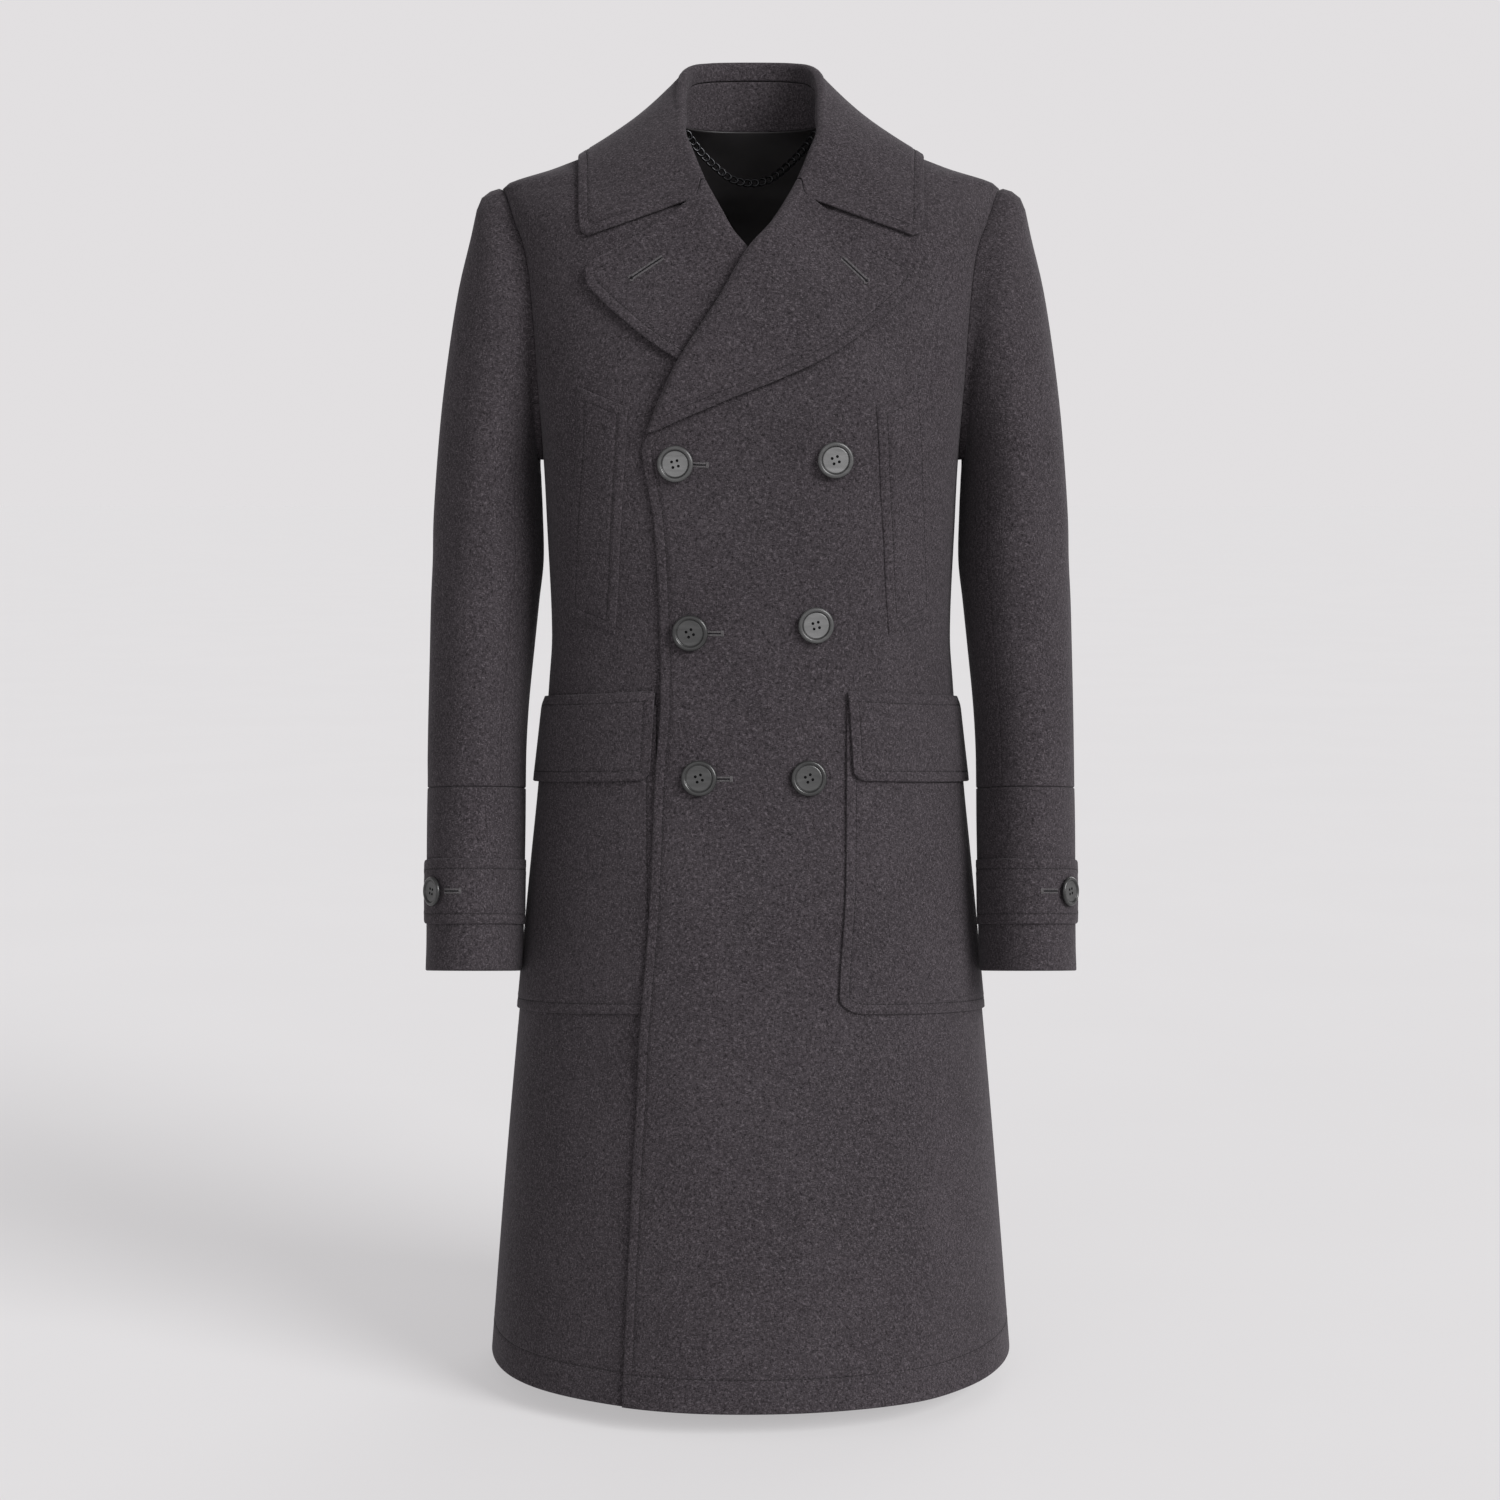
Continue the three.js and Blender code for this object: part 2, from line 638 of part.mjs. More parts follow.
function collarFall() {
  const lines = [
    ...COLLAR.map((row) => fallLine(collarSection(row))),
    ...COLLAR_FRONT.map(fallLineInFront),
    collarEnd(),
  ];
  return cloth(withNormals(bothSides(lines)), COLLAR_CLOTH);
}

function collarStand() {
  const lines = COLLAR.slice(0, 7).map((row) => {
    const section = collarSection(row);
    const top = Math.max(standSeam(section), 0.12);
    return [0, 0.5, 1].map((share) => section.neck.clone().lerp(section.foot, share * top));
  });
  return cloth(withNormals(bothSides(lines)), CLOTH);
}

// Sleeve head rings, level sleeve rings
const sleeveX = curve(SLEEVE, 'level', 'x');
const sleeveWide = curve(SLEEVE, 'level', 'wide');
const sleeveY = curve(SLEEVE, 'level', 'y');
const sleeveDeep = curve(SLEEVE, 'level', 'deep');
const sleeveTilt = curve(SLEEVE, 'level', 'tilt');

function sleeveMiddle(turn, level) {
  const c = Math.cos(radians(turn));
  const s = Math.sin(radians(turn));
  const back = -sleeveDeep(level) * s;
  const drop = -back * Math.tan(radians(sleeveTilt(level)));
  return vector(sleeveX(level) + sleeveWide(level) * c, sleeveY(level) + back, level + drop);
}

function onSleeve(turn, level, lift = 0) {
  const point = sleeveMiddle(turn, level);
  const round = sleeveMiddle(turn + 0.5, level).sub(sleeveMiddle(turn - 0.5, level));
  const down = sleeveMiddle(turn, level - 1).sub(sleeveMiddle(turn, level + 1));
  const normal = down.cross(round).normalize();
  if (normal.x * Math.cos(radians(turn)) - normal.y * Math.sin(radians(turn)) < 0) {
    normal.negate();
  }
  return { point: point.addScaledVector(normal, lift), normal };
}

// The armhole's edge by angle from the shoulder: 90 is in front, 270 behind
function armholePoint(angle) {
  const behind = Math.sin(radians(angle)) < 0;
  const level = ARMHOLE.middle + ARMHOLE.half * Math.cos(radians(angle)) * 0.9999;
  return onTrunk(armholeTurn(level, behind), level);
}

function sleeveStart(angle, out) {
  const { point, normal } = armholePoint(angle);
  const tangent = armholePoint(angle + 1).point.sub(armholePoint(angle - 1).point).normalize();
  const away = normal.clone().cross(tangent).normalize();
  const middle = vector(190, 2, ARMHOLE.middle);
  if (away.dot(point.clone().sub(middle)) < 0) away.negate();
  const slope = -0.4 * Math.cos(radians(angle) / 2) ** 4;
  const exit = vector(1, 0, angle < 180 ? slope : -0.4 * Math.cos(radians(360 - angle) / 2) ** 4);
  exit.normalize();
  const wall = exit.clone().cross(tangent).normalize();
  const shift = SEAM + 0.15 + 0.5 * CLOTH * Math.abs(wall.dot(away));
  return point.addScaledVector(away, -shift).addScaledVector(exit, out);
}

function sleeveHeadRing(row, turn) {
  const c = Math.cos(radians(turn));
  const s = Math.sin(radians(turn));
  const x = mix(row.under[0], row.outer[0], (1 + c) / 2) - row.bow * s * s;
  const z = mix(row.under[1], row.outer[1], (1 + c) / 2);
  return vector(x, 1 - row.deep * s, z);
}

const SLEEVE_LEVELS = [-330, -371, -405, -439, -491, -530, CUFF_SEAM + SEAM / 2];

function sleeveGrid(turns) {
  const rings = [
    (turn) => sleeveStart((turn + 360) % 360, 0),
    (turn) => sleeveStart((turn + 360) % 360, 6),
    ...SLEEVE_HEAD.map((row) => (turn) => sleeveHeadRing(row, turn)),
    ...SLEEVE_LEVELS.map((level) => (turn) => sleeveMiddle(turn, level)),
  ];
  const d = 0.5;
  return rings.map((ring, i) => turns.map((turn) => {
    const round = ring(turn + d).sub(ring(turn - d));
    const below = rings[Math.min(i + 1, rings.length - 1)](turn);
    const down = below.sub(rings[Math.max(i - 1, 0)](turn));
    return { point: ring(turn), normal: round.cross(down).normalize() };
  }));
}

function sleevePart(side, from, to, count) {
  const turns = [];
  for (let i = 0; i <= count; i += 1) turns.push(mix(from, to, i / count));
  return cloth(onSide(sleeveGrid(turns), side), CLOTH);
}

const sleeveTop = (side) => sleevePart(side, -SLEEVE_SPLIT + 0.17, SLEEVE_SPLIT - 0.17, 14);
const sleeveUnder = (side) => sleevePart(side, SLEEVE_SPLIT + 0.17, 360 - SLEEVE_SPLIT - 0.17, 6);

function cuff(side) {
  const levels = [CUFF_SEAM - SEAM / 2, -618, -670, CUFF_END];
  const rows = levels.map((level) => {
    const row = [];
    for (let turn = 0; turn < 360; turn += 18) row.push(onSleeve(turn, level));
    return row;
  });
  return cloth(onSide(rows, side), CLOTH, { loop: true });
}

const STRAP_LIFT = (CLOTH + STRAP_CLOTH) / 2 + 0.9;

function strap(side) {
  const rows = STRAP.map(({ turn, half }) => [1, 0.4, -0.4, -1].map((across) => (
    onSleeve(turn, STRAP_LEVEL + across * half, STRAP_LIFT)
  )));
  return cloth(onSide(rows, side), STRAP_CLOTH);
}

// Columns of a piece on the side of a front: its edge, its corner, then the shared turns
function patchTurns(edge, corner) {
  const turns = corner.map(({ past }) => edge + past);
  const last = turns[turns.length - 1];
  for (let turn = 0; turn < SIDE_TURN - 1; turn += 7.5) {
    if (turn > last + 0.8) turns.push(turn);
  }
  return [...turns, SIDE_TURN];
}

function laidPatch(side, { frontEdge, ends, corner, downs, lift }) {
  const top = curve(ends, 'turn', 'top');
  const bottom = curve(ends, 'turn', 'bottom');
  const raise = curve(corner, 'past', 'raise');
  const middle = turnAt(frontEdge(ends[2].top), ends[2].top);
  return patchTurns(middle, corner).map((column, i) => downs.map((down) => {
    const low = bottom(column) + raise(column - middle);
    const level = mix(top(column), low, down);
    const own = turnAt(frontEdge(level), level) - middle;
    const turn = i < corner.length ? column + own : column;
    const flat = onTrunk(turn, level);
    return onTrunk(turn, level, frontLift(side, flat.point.x, level) + lift(down, column));
  }));
}

function pocket(side) {
  const lift = (CLOTH + POCKET_CLOTH) / 2 + 1;
  const rows = laidPatch(side, {
    frontEdge: pocketFront,
    ends: POCKET_ENDS,
    corner: POCKET_CORNER,
    downs: [0, 0.25, 0.5, 0.78, 1],
    lift: () => lift,
  });
  return cloth(onSide(rows, side), POCKET_CLOTH, { slant: side > 0 });
}

function flap(side) {
  const drop = curve(FLAP_DROP, 'down', 'lift');
  const rows = laidPatch(side, {
    frontEdge: (level) => 78 + ((-475 - level) / 73) * 4.5,
    ends: FLAP_ENDS,
    corner: FLAP_CORNER,
    downs: FLAP_DROP.map(({ down }) => down),
    lift: (down, turn) => CLOTH + 0.9 + drop(down) + 2.2 * down * (turn / 90) ** 8,
  });
  return cloth(onSide(rows, side), CLOTH, { slant: side > 0 });
}

function welt(side) {
  const lift = (CLOTH + POCKET_CLOTH) / 2 + (side > 0 ? 1.8 : 1);
  const rows = WELT.map(({ front: near, back: far }) => [0, 0.25, 0.5, 0.75, 1].map((across) => {
    const x = mix(near[0], far[0], across);
    const level = mix(near[1], far[1], across);
    return onFront(x, level, frontLift(side, x, level) + lift);
  }));
  return cloth(onSide(rows, side), POCKET_CLOTH);
}

// A solid from the boolean kernel, and back
function toManifold(geometry) {
  const position = geometry.getAttribute('position');
  return new wasm.Manifold(new wasm.Mesh({
    numProp: 3,
    vertProperties: new Float32Array(position.array),
    triVerts: new Uint32Array(geometry.getIndex().array),
  }));
}

function fromManifold(solid) {
  const { vertProperties, triVerts } = solid.getMesh();
  const geometry = new THREE.BufferGeometry();
  geometry.setAttribute('position', new THREE.Float32BufferAttribute(vertProperties, 3));
  geometry.setIndex(Array.from(triVerts));
  geometry.computeVertexNormals();
  return geometry;
}

// A turned solid round +Z, closed on the axis
function turned(profile, sides) {
  const points = [];
  const rings = profile.map(({ radius, height }) => {
    const ring = [];
    for (let k = 0; k < sides; k += 1) {
      if (radius === 0 && k > 0) {
        ring.push(ring[0]);
      } else {
        const angle = (2 * Math.PI * k) / sides;
        ring.push(points.length);
        points.push(vector(radius * Math.cos(angle), radius * Math.sin(angle), height));
      }
    }
    return ring;
  });
  const faces = [];
  for (let i = 0; i + 1 < rings.length; i += 1) {
    for (let k = 0; k < sides; k += 1) {
      const next = (k + 1) % sides;
      const [a, b, c, d] = [rings[i][k], rings[i][next], rings[i + 1][next], rings[i + 1][k]];
      if (a !== b) faces.push([a, b, c]);
      if (c !== d) faces.push([a, c, d]);
    }
  }
  return closedMesh(points, faces);
}

function hole(x, y) {
  const post = turned([
    { radius: 0, height: -1 },
    { radius: 1.15, height: -1 },
    { radius: 1.15, height: 6 },
    { radius: 0, height: 6 },
  ], 4);
  return post.translate(x, y, 0);
}

function button(radius) {
  const profile = BUTTON_PROFILE.map(({ share, height }) => ({ radius: share * radius, height }));
  let solid = toManifold(turned(profile, BUTTON_SIDES));
  const spread = 0.17 * radius;
  [[1, 1], [-1, 1], [-1, -1], [1, -1]].forEach(([x, y]) => {
    solid = solid.subtract(toManifold(hole(x * spread, y * spread)));
  });
  return fromManifold(solid);
}

// Sets a part's +Z along a normal at a point.
function seated(geometry, { point, normal }) {
  const turn = new THREE.Quaternion().setFromUnitVectors(vector(0, 0, 1), normal);
  return geometry.applyQuaternion(turn).translate(point.x, point.y, point.z);
}

function frontButton({ x, level, gap }) {
  const { normal } = onFront(x, level, 0);
  const { point } = onFront(x, level, overLift(x, level) + CLOTH / 2 + gap);
  return seated(button(BUTTON_RADIUS), { point, normal });
}

function cuffButton(side) {
  const lift = STRAP_LIFT + STRAP_CLOTH / 2 - 0.2;
  const place = onSleeve(CUFF_BUTTON_TURN, STRAP_LEVEL, lift);
  return seated(button(CUFF_BUTTON_RADIUS), mirrored(place, side));
}

// The chain as one solid: a flat rope, pinched between its links
function hangerChain() {
  const ends = [...CHAIN].reverse().map(({ x, y, z }) => vector(-x, y, z));
  const line = new THREE.CatmullRomCurve3([
    ...ends,
    ...CHAIN.slice(1).map(({ x, y, z }) => vector(x, y, z)),
  ]);
  const points = [];
  const rings = [];
  for (let i = 0; i <= 2 * CHAIN_LINKS; i += 1) {
    const at = line.getPointAt(i / (2 * CHAIN_LINKS));
    const ahead = line.getTangentAt(i / (2 * CHAIN_LINKS));
    const thick = vector(0, 1, 0).addScaledVector(ahead, -ahead.y).normalize();
    const tall = ahead.clone().cross(thick);
    const size = i % 2 === 1 ? 1 : 0.62;
    const ring = [];
    for (let k = 0; k < 6; k += 1) {
      const angle = (Math.PI * k) / 3;
      ring.push(points.length);
      points.push(at.clone()
        .addScaledVector(tall, 3.5 * size * Math.cos(angle))
        .addScaledVector(thick, 1.8 * size * Math.sin(angle)));
    }
    rings.push(ring);
  }
  const faces = [];
  for (let i = 0; i + 1 < rings.length; i += 1) {
    for (let k = 0; k < 6; k += 1) {
      const next = (k + 1) % 6;
      faces.push([rings[i][k], rings[i][next], rings[i + 1][next]]);
      faces.push([rings[i][k], rings[i + 1][next], rings[i + 1][k]]);
    }
  }
  const last = rings[rings.length - 1];
  for (let k = 1; k < 5; k += 1) {
    faces.push([rings[0][0], rings[0][k + 1], rings[0][k]]);
    faces.push([last[0], last[k], last[k + 1]]);
  }
  return closedMesh(points, faces);
}

const WOOL = { color: 0x45454a, roughness: 0.95, metalness: 0 };
const SATIN = { color: 0x1b1b1f, roughness: 0.5, metalness: 0 };
const HORN = { color: 0x4c4b4d, roughness: 0.35, metalness: 0 };
const STEEL = { color: 0x3a3b3f, roughness: 0.35, metalness: 0.9 };

const group = new THREE.Group();

function add(name, geometry, look) {
  const mesh = new THREE.Mesh(geometry, new THREE.MeshStandardMaterial(look));
  mesh.name = name;
  group.add(mesh);
}

[['left', 1], ['right', -1]].forEach(([hand, side]) => {
  add(`front_${hand}`, front(side), WOOL);
  add(`back_${hand}`, back(side), WOOL);
  add(`lapel_${hand}`, lapel(side), WOOL);
  add(`sleeve_top_${hand}`, sleeveTop(side), WOOL);
  add(`sleeve_under_${hand}`, sleeveUnder(side), WOOL);
  add(`cuff_${hand}`, cuff(side), WOOL);
  add(`cuff_strap_${hand}`, strap(side), WOOL);
  add(`cuff_button_${hand}`, cuffButton(side), HORN);
  add(`pocket_${hand}`, pocket(side), WOOL);
  add(`pocket_flap_${hand}`, flap(side), WOOL);
  add(`chest_welt_${hand}`, welt(side), WOOL);
});
add('collar_stand', collarStand(), WOOL);
add('collar_fall', collarFall(), WOOL);
add('back_lining', backLining(), SATIN);
BUTTONS.forEach((place) => add(place.name, frontButton(place), HORN));
add('hanger_chain', hangerChain(), STEEL);

export default group;
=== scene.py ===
import math

import bpy
import numpy as np
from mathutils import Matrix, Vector
from mathutils.kdtree import KDTree


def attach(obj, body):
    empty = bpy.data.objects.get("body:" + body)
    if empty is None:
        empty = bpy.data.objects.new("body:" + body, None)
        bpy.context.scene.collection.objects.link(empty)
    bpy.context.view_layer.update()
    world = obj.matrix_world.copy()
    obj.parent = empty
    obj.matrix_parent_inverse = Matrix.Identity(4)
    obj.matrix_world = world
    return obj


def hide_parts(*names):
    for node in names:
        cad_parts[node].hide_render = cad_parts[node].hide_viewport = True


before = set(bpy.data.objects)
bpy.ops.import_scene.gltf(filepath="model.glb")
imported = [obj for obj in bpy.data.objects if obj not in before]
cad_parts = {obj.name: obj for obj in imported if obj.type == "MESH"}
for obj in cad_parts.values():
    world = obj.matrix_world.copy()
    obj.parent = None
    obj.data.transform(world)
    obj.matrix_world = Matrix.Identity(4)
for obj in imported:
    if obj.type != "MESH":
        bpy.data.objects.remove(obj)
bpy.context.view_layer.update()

MM = 0.001
HANDS = (("left", 1), ("right", -1))
MIRROR = np.array([-1, 1, 1])

# Cloth and seams
CLOTH = 2.2
COLLAR_CLOTH = 2.4
POCKET_CLOTH = 2.0
STRAP_CLOTH = 1.8
LINING = 1.0
LAYER = 3.0
ROLL = 4.0
COLLAR_CLEAR = (CLOTH + COLLAR_CLOTH) / 2 + 1.3
STRAP_LIFT = (CLOTH + STRAP_CLOTH) / 2 + 0.9
POCKET_COVER = 2.9
# How far a cloth takes to settle back past what it lies over
SETTLE = 45

# Levels, down from the base of the neck
HEM = -1064
NECK = -1
SHOULDER = -56
LINING_END = -310
CUFF_SEAM = -566
CUFF_END = -721


def table(columns, *rows):
    names = columns.split()
    return [dict(zip(names, row)) for row in rows]


# The trunk: level sections, half an oval in front and half an oval behind
TRUNK = table(
    "level half front back square",
    (HEM, 227.6, 192.9, 181, 2.2),
    (-900, 213.6, 169.5, 155, 2.27),
    (-794, 204, 157, 142, 2.3),
    (-634, 188.3, 139, 123, 2.35),
    (-560, 180.5, 131.5, 111, 2.4),
    (-475, 173.3, 126.5, 101, 2.45),
    (-434, 170.6, 126, 99, 2.5),
    (-334, 174.8, 132, 108, 2.7),
    (-266, 178.5, 132, 117, 2.9),
    (-204, 185.5, 126, 121, 3),
    (-158, 191, 118, 121, 3),
    (-109, 196.5, 106, 117, 3),
    (-84, 203.4, 98, 112, 2.9),
    (-66, 208.2, 88, 105, 2.5),
    (SHOULDER, 210.5, 81, 98, 2.15),
    (-40, 167.5, 74, 92, 2.15),
    (-21, 118, 63, 82, 2.1),
    (NECK, 65, 50, 64, 2.1),
    (7, 44, 44, 58, 2),
)
ARMHOLE = {"middle": -170.5, "half": 114.5, "front": 60, "back": 66}
ARMHOLE_CENTRE = (190, 2, ARMHOLE["middle"])

# Inner edge of a front: neck seam, roll of the lapel, then the front edge down to the hem
OPENING = table(
    "level x",
    (HEM, -105.9), (-897, -98.8), (-759, -90.6), (-647, -82), (-548, -78), (-482, -73.4),
    (-428, -74.5), (-377, -76.3), (-333, -79.3), (-298, -85.7), (-276, -88.6), (-259.5, -80),
    (-207.9, -54.5), (-158.6, -22.5), (-114.5, 4.3), (-99, 19), (-76.8, 33), (-61.6, 41),
    (-46, 47.5), (-20, 57.5), (NECK, 63.5),
)

# Outer edge of a lapel, from its low end up to the corner at the notch
LAPEL_EDGE = table(
    "level x",
    (-262.5, -77.5), (-253.1, -55.7), (-238.6, -20.5), (-224.5, 16.7), (-207, 55),
    (-190.5, 81), (-173.5, 102), (-156, 121), (-140, 133.5), (-132.5, 134.5), (-125, 130.5),
)
LAPEL_TOP = -61.6
LAPEL_FOOT = -263.2
# By side: how far a lapel lies off the front, and the level and height over which its roll opens
LAPEL_LIFT = {1: 1, -1: 0.15}
ROLL_OPENS = {1: (-272, 40), -1: (-118, 35)}
NOTCH = (43.8, -74.6)

# Collar sections behind and beside the neck: the fold, the way out over it, the outer edge
COLLAR = table(
    "turn level fold out edge",
    (180, NECK, (0, 66, 59), (0, 1, 0), (0, 84, -18)),
    (162, NECK, (19.5, 64.5, 58.6), (0.28, 0.96, 0), (37, 84, -19)),
    (144, NECK, (37, 56.5, 57), (0.58, 0.81, 0), (73, 77, -21)),
    (126, NECK, (50.5, 41, 53), (0.82, 0.57, 0), (105, 61, -24)),
    (108, NECK, (57, 22, 45), (0.97, 0.24, 0), (129, 36, -28)),
    (90.4, NECK, (59, 1, 32), (1, 0, 0.1), (141, 6, -31)),
    (None, NECK, (58.8, -14, 21), (0.95, -0.2, 0.2), (144, -22, -33.5)),
    (None, -9, (57.2, -36, 3), (0.82, -0.42, 0.38), (144.5, -48, -39)),
)
COLLAR_FRONT = table(
    "level edge",
    (-20, (144, -68, -53)), (-34, (143, -84, -71)), (-46, (142, -90, -87)), (SHOULDER, (139.5, -93.5, -98.5)),
)
COLLAR_TIP = (132, -102.8)
STAND_SEAM = 12
# Gaps at seams: collar to neck, fall to stand, sleeve to armhole
NECK_GAP = 0.05
FALL_GAP = 0.48
SLEEVE_GAP = 0.1

# Sleeve head: rings that swing from the armhole to level
SLEEVE_HEAD = table(
    "outer under deep bow",
    ((226.5, -64.5), (183.5, -288), 65.5, 10),
    ((232.5, -76), (183.3, -290), 69, 7),
    ((239, -101), (183, -293), 71.5, 4),
    ((248.5, -140), (182.6, -296), 73, 2),
    ((257.5, -195), (182.2, -300), 74, 0.5),
    ((264.6, -252), (181.9, -306), 74, 0),
)
SLEEVE = table(
    "level x wide y deep tilt",
    (-285, 225.2, 43.4, 2, 74, 0), (-319, 225.9, 44.7, 1, 73, 0), (-371, 226.2, 46, -3, 71, 1),
    (-405, 228.9, 45, -6, 69.5, 2.5), (-439, 231.1, 43.7, -10, 68, 4), (-491, 234.1, 41.6, -17, 65, 6),
    (-542, 235.8, 40.7, -24, 62, 7), (-594, 236.3, 41, -32, 59, 8.5), (-645, 236.6, 40.7, -40, 56.5, 9.5),
    (-697, 237, 40.3, -47.5, 54, 10), (-721, 238, 39.9, -51, 53, 10.5),
)
SLEEVE_LEVELS = (-330, -371, -405, -439, -491, -530, CUFF_SEAM + 0.15)
SLEEVE_SPLIT = 126

# Strap round the cuff: its level, the length of one degree round it, and half its width at each turn
STRAP_LEVEL = -654.5
STRAP_DEGREE = 0.785
STRAP = table(
    "turn half",
    (174, 27.4), (36, 27.4), (18, 26.8), (9, 23.6), (0, 18.4), (-5, 12), (-8, 5), (-9, 0.6),
)
CUFF_BUTTON_TURN = 46

# Patch pocket and flap: front edge by level, ends by turn
POCKET_FRONT = table("level x", (-741, 74), (-728, 72), (-630, 77), (-487, 77.5))
POCKET_ENDS = table(
    "turn top bottom",
    (20, -487, -739), (32, -487, -740.5), (50, -491, -744.5), (68, -495.5, -751), (90, -501, -762),
)
FLAP_FRONT = table("level x", (-548, 82.5), (-475, 78))
FLAP_ENDS = table(
    "turn top bottom",
    (20, -475, -548.5), (32, -475, -549), (50, -478.5, -552), (68, -483, -556.5), (90, -489, -563.5),
)
FLAP_DROP = table("down lift", (0, 0), (0.14, 2.2), (0.55, 2.6), (1, 2.9))
SIDE_TURN = 88.4
QUARTER_TURN = 90

# Chest welt: its two long edges
WELT = table(
    "down near_x near_level far_x far_level",
    (0, 100, -243, 142.3, -225), (0.2, 102.4, -280, 142.8, -268), (0.4, 104.8, -318, 145.6, -310),
    (0.6, 107.2, -355, 147.8, -350), (0.8, 109, -391, 149.2, -387), (1, 112, -429, 149.6, -414),
)
WELT_WIDTH = 42
WELT_LENGTH = 190

# Front buttons: place on the left front, and the gap under the foot
BUTTONS = table(
    "x level gap",
    (-61.1, -288.6, 0.25), (67.5, -285.4, 0.9), (-49.3, -426.5, 1.05),
    (52.4, -420, 0.9), (-42, -546.4, 1.17), (46.9, -546.5, 0.4),
)
BUTTON_RADIUS = 14.8
CUFF_BUTTON_RADIUS = 12.4
HOLE_RADIUS = 1.2
# Buttons whose face and rim are painted lighter, as a painted reflection of the light they catch
BUTTONS_WITH_PAINTED_SHEEN = ("front_button_1", "front_button_2", "front_button_4")
# Radius as a share of the button's, height in millimetres
BUTTON_PROFILE = (
    (0, 0), (0.72, 0), (0.8, 0.15), (0.9, 0.75), (0.97, 1.55), (1, 2.3), (0.995, 2.9), (0.975, 3.5),
    (0.94, 3.95), (0.9, 4.17), (0.86, 4.2), (0.82, 4.08), (0.785, 3.8), (0.765, 3.4), (0.75, 3.0),
    (0.735, 2.86), (0.715, 2.9), (0.7, 3.05), (0.68, 3.13), (0.65, 3.1), (0.58, 3.0), (0.4, 2.88), (0, 2.8),
)

# Hanger chain: half its line, from the middle out
CHAIN = (
    (0, 47, -45.5), (9.5, 46.8, -44.4), (18.5, 46, -41), (30, 43, -32.5), (43.5, 37, -20), (55.9, 27.4, -4.4),
)
CHAIN_LINKS = 24
LINK_LENGTH = 3.9
LINK_HEIGHT = 2.7
LINK_WIRE = 1.05

# Buttonholes, each from its button outwards: x and level on its cloth
FRONT_HOLES = (
    ((-49, -289.2), (-36.5, -289.6)), ((-37, -427), (-24.5, -427)), ((-29.6, -547), (-17.3, -547)),
)
# The same on the lapels, after the side
LAPEL_HOLES = ((-1, (98.5, -139.2), (72, -121.8)), (1, (94.5, -142), (74, -122.8)))
STRAP_HOLE = ((12.5, 0), (26, 0))
# Half the width of a hole with its cords, and a lapel hole's eyelet
HOLE_HALF = 1.5
EYELET = 1.5
# The cords: pitch, reach in and out from that width, radius, and half a bar's length
CORD_PITCH = 0.62
CORD_IN = 1.05
CORD_OUT = 0.75
CORD_RADIUS = 0.38
BAR_HALF = 2.8

# Soft folds of the trunk: turn round it (right is negative), level, spread down in millimetres and
# across in degrees, lean in degrees per 100 mm down, and height, below zero for a trough
TRUNK_FOLDS = table(
    "turn level tall wide lean height",
    (-62, -930, 230, 13, 0.4, 2.2),
    (-38, -960, 200, 11, -0.5, -1.8),
    (-14, -900, 260, 15, 0.6, 1.4),
    (24, -940, 240, 14, -0.4, -1.6),
    (46, -900, 230, 12, 0.5, 2.0),
    (70, -960, 220, 12, -0.3, -1.8),
    (104, -930, 240, 13, 0.3, 2.4),
    (128, -900, 260, 12, -0.4, -2.4),
    (152, -950, 230, 13, 0.4, 2.2),
    (-174, -920, 260, 10, 0.0, -2.2),
    (-150, -940, 240, 13, -0.4, 2.4),
    (-126, -900, 250, 12, 0.4, -2.2),
    (-100, -950, 230, 12, -0.3, 2.2),
    (-76, -330, 90, 9, 5.0, -1.6),
    (78, -325, 95, 9, -5.0, -1.8),
    (-66, -420, 70, 10, 7.0, 1.2),
    (66, -430, 75, 10, -7.0, 1.2),
    (150, -470, 80, 14, 9.0, -1.8),
    (-148, -480, 85, 14, -9.0, -1.8),
    (118, -420, 90, 12, -8.0, 1.6),
    (-120, -410, 90, 12, 8.0, 1.6),
)
# Soft folds of a sleeve: turn from its outermost line, and the same columns
SLEEVE_FOLDS = table(
    "turn level tall wide lean height",
    (62, -250, 110, 16, -6, -1.5),
    (30, -330, 150, 18, 3, 1.3),
    (96, -400, 60, 26, 22, -2.2),
    (120, -440, 50, 24, 24, 1.6),
    (70, -470, 55, 30, 20, -1.5),
    (40, -520, 60, 22, 10, 1.2),
    (-60, -420, 120, 20, -5, -1.8),
    (-95, -460, 70, 26, -20, 1.6),
    (-30, -260, 120, 18, 4, 1.2),
)

# Camera, as in the photograph
CAMERA_PLACE = (-0.87, -2437.9, -292.6)
CAMERA_TILT = 84.3
CAMERA_LENS = 67.586
FLOOR = HEM - 21
SKY = (0.76, 0.742, 0.752)
LAMPS = table(
    "name place power wide",
    ("key", (1650, -1400, 1150), 3.7, 30),
    ("fill", (-600, -1900, 900), 0.5, 60),
    ("rim", (900, 1900, 900), 0.8, 40),
)

# Stops along a cloth from its edge: close for a round edge, and for a sunk stitch line
EDGE = (0, 0.35, 0.9, 1.8, 3.5)
STITCHED = (0, 0.35, 0.9, 1.8, 3.5, 5.8, 7.2, 7.9, 8.5, 9.1, 9.8, 11.4, 14)
STITCH_INSET = 8.5
HEM_STITCH = 28
# Sunk stitch lines: the pitch of their points, a groove, and a soft ridge beside it
LINE_PITCH = 1.6
SINK = 0.6
GROOVE = 1.3
RIDGE = {"height": 0.14, "off": 3.2, "wide": 1.4}
# Threads in them: length, pitch, radius, and the fine step that cuts a line up
STITCH = {"length": 2.8, "pitch": 3.6, "radius": 0.36, "fine": 0.4}
# Stretch of a front's edge that is stitched, below its lapel
FRONT_STITCHING = (0.285, 0.974)
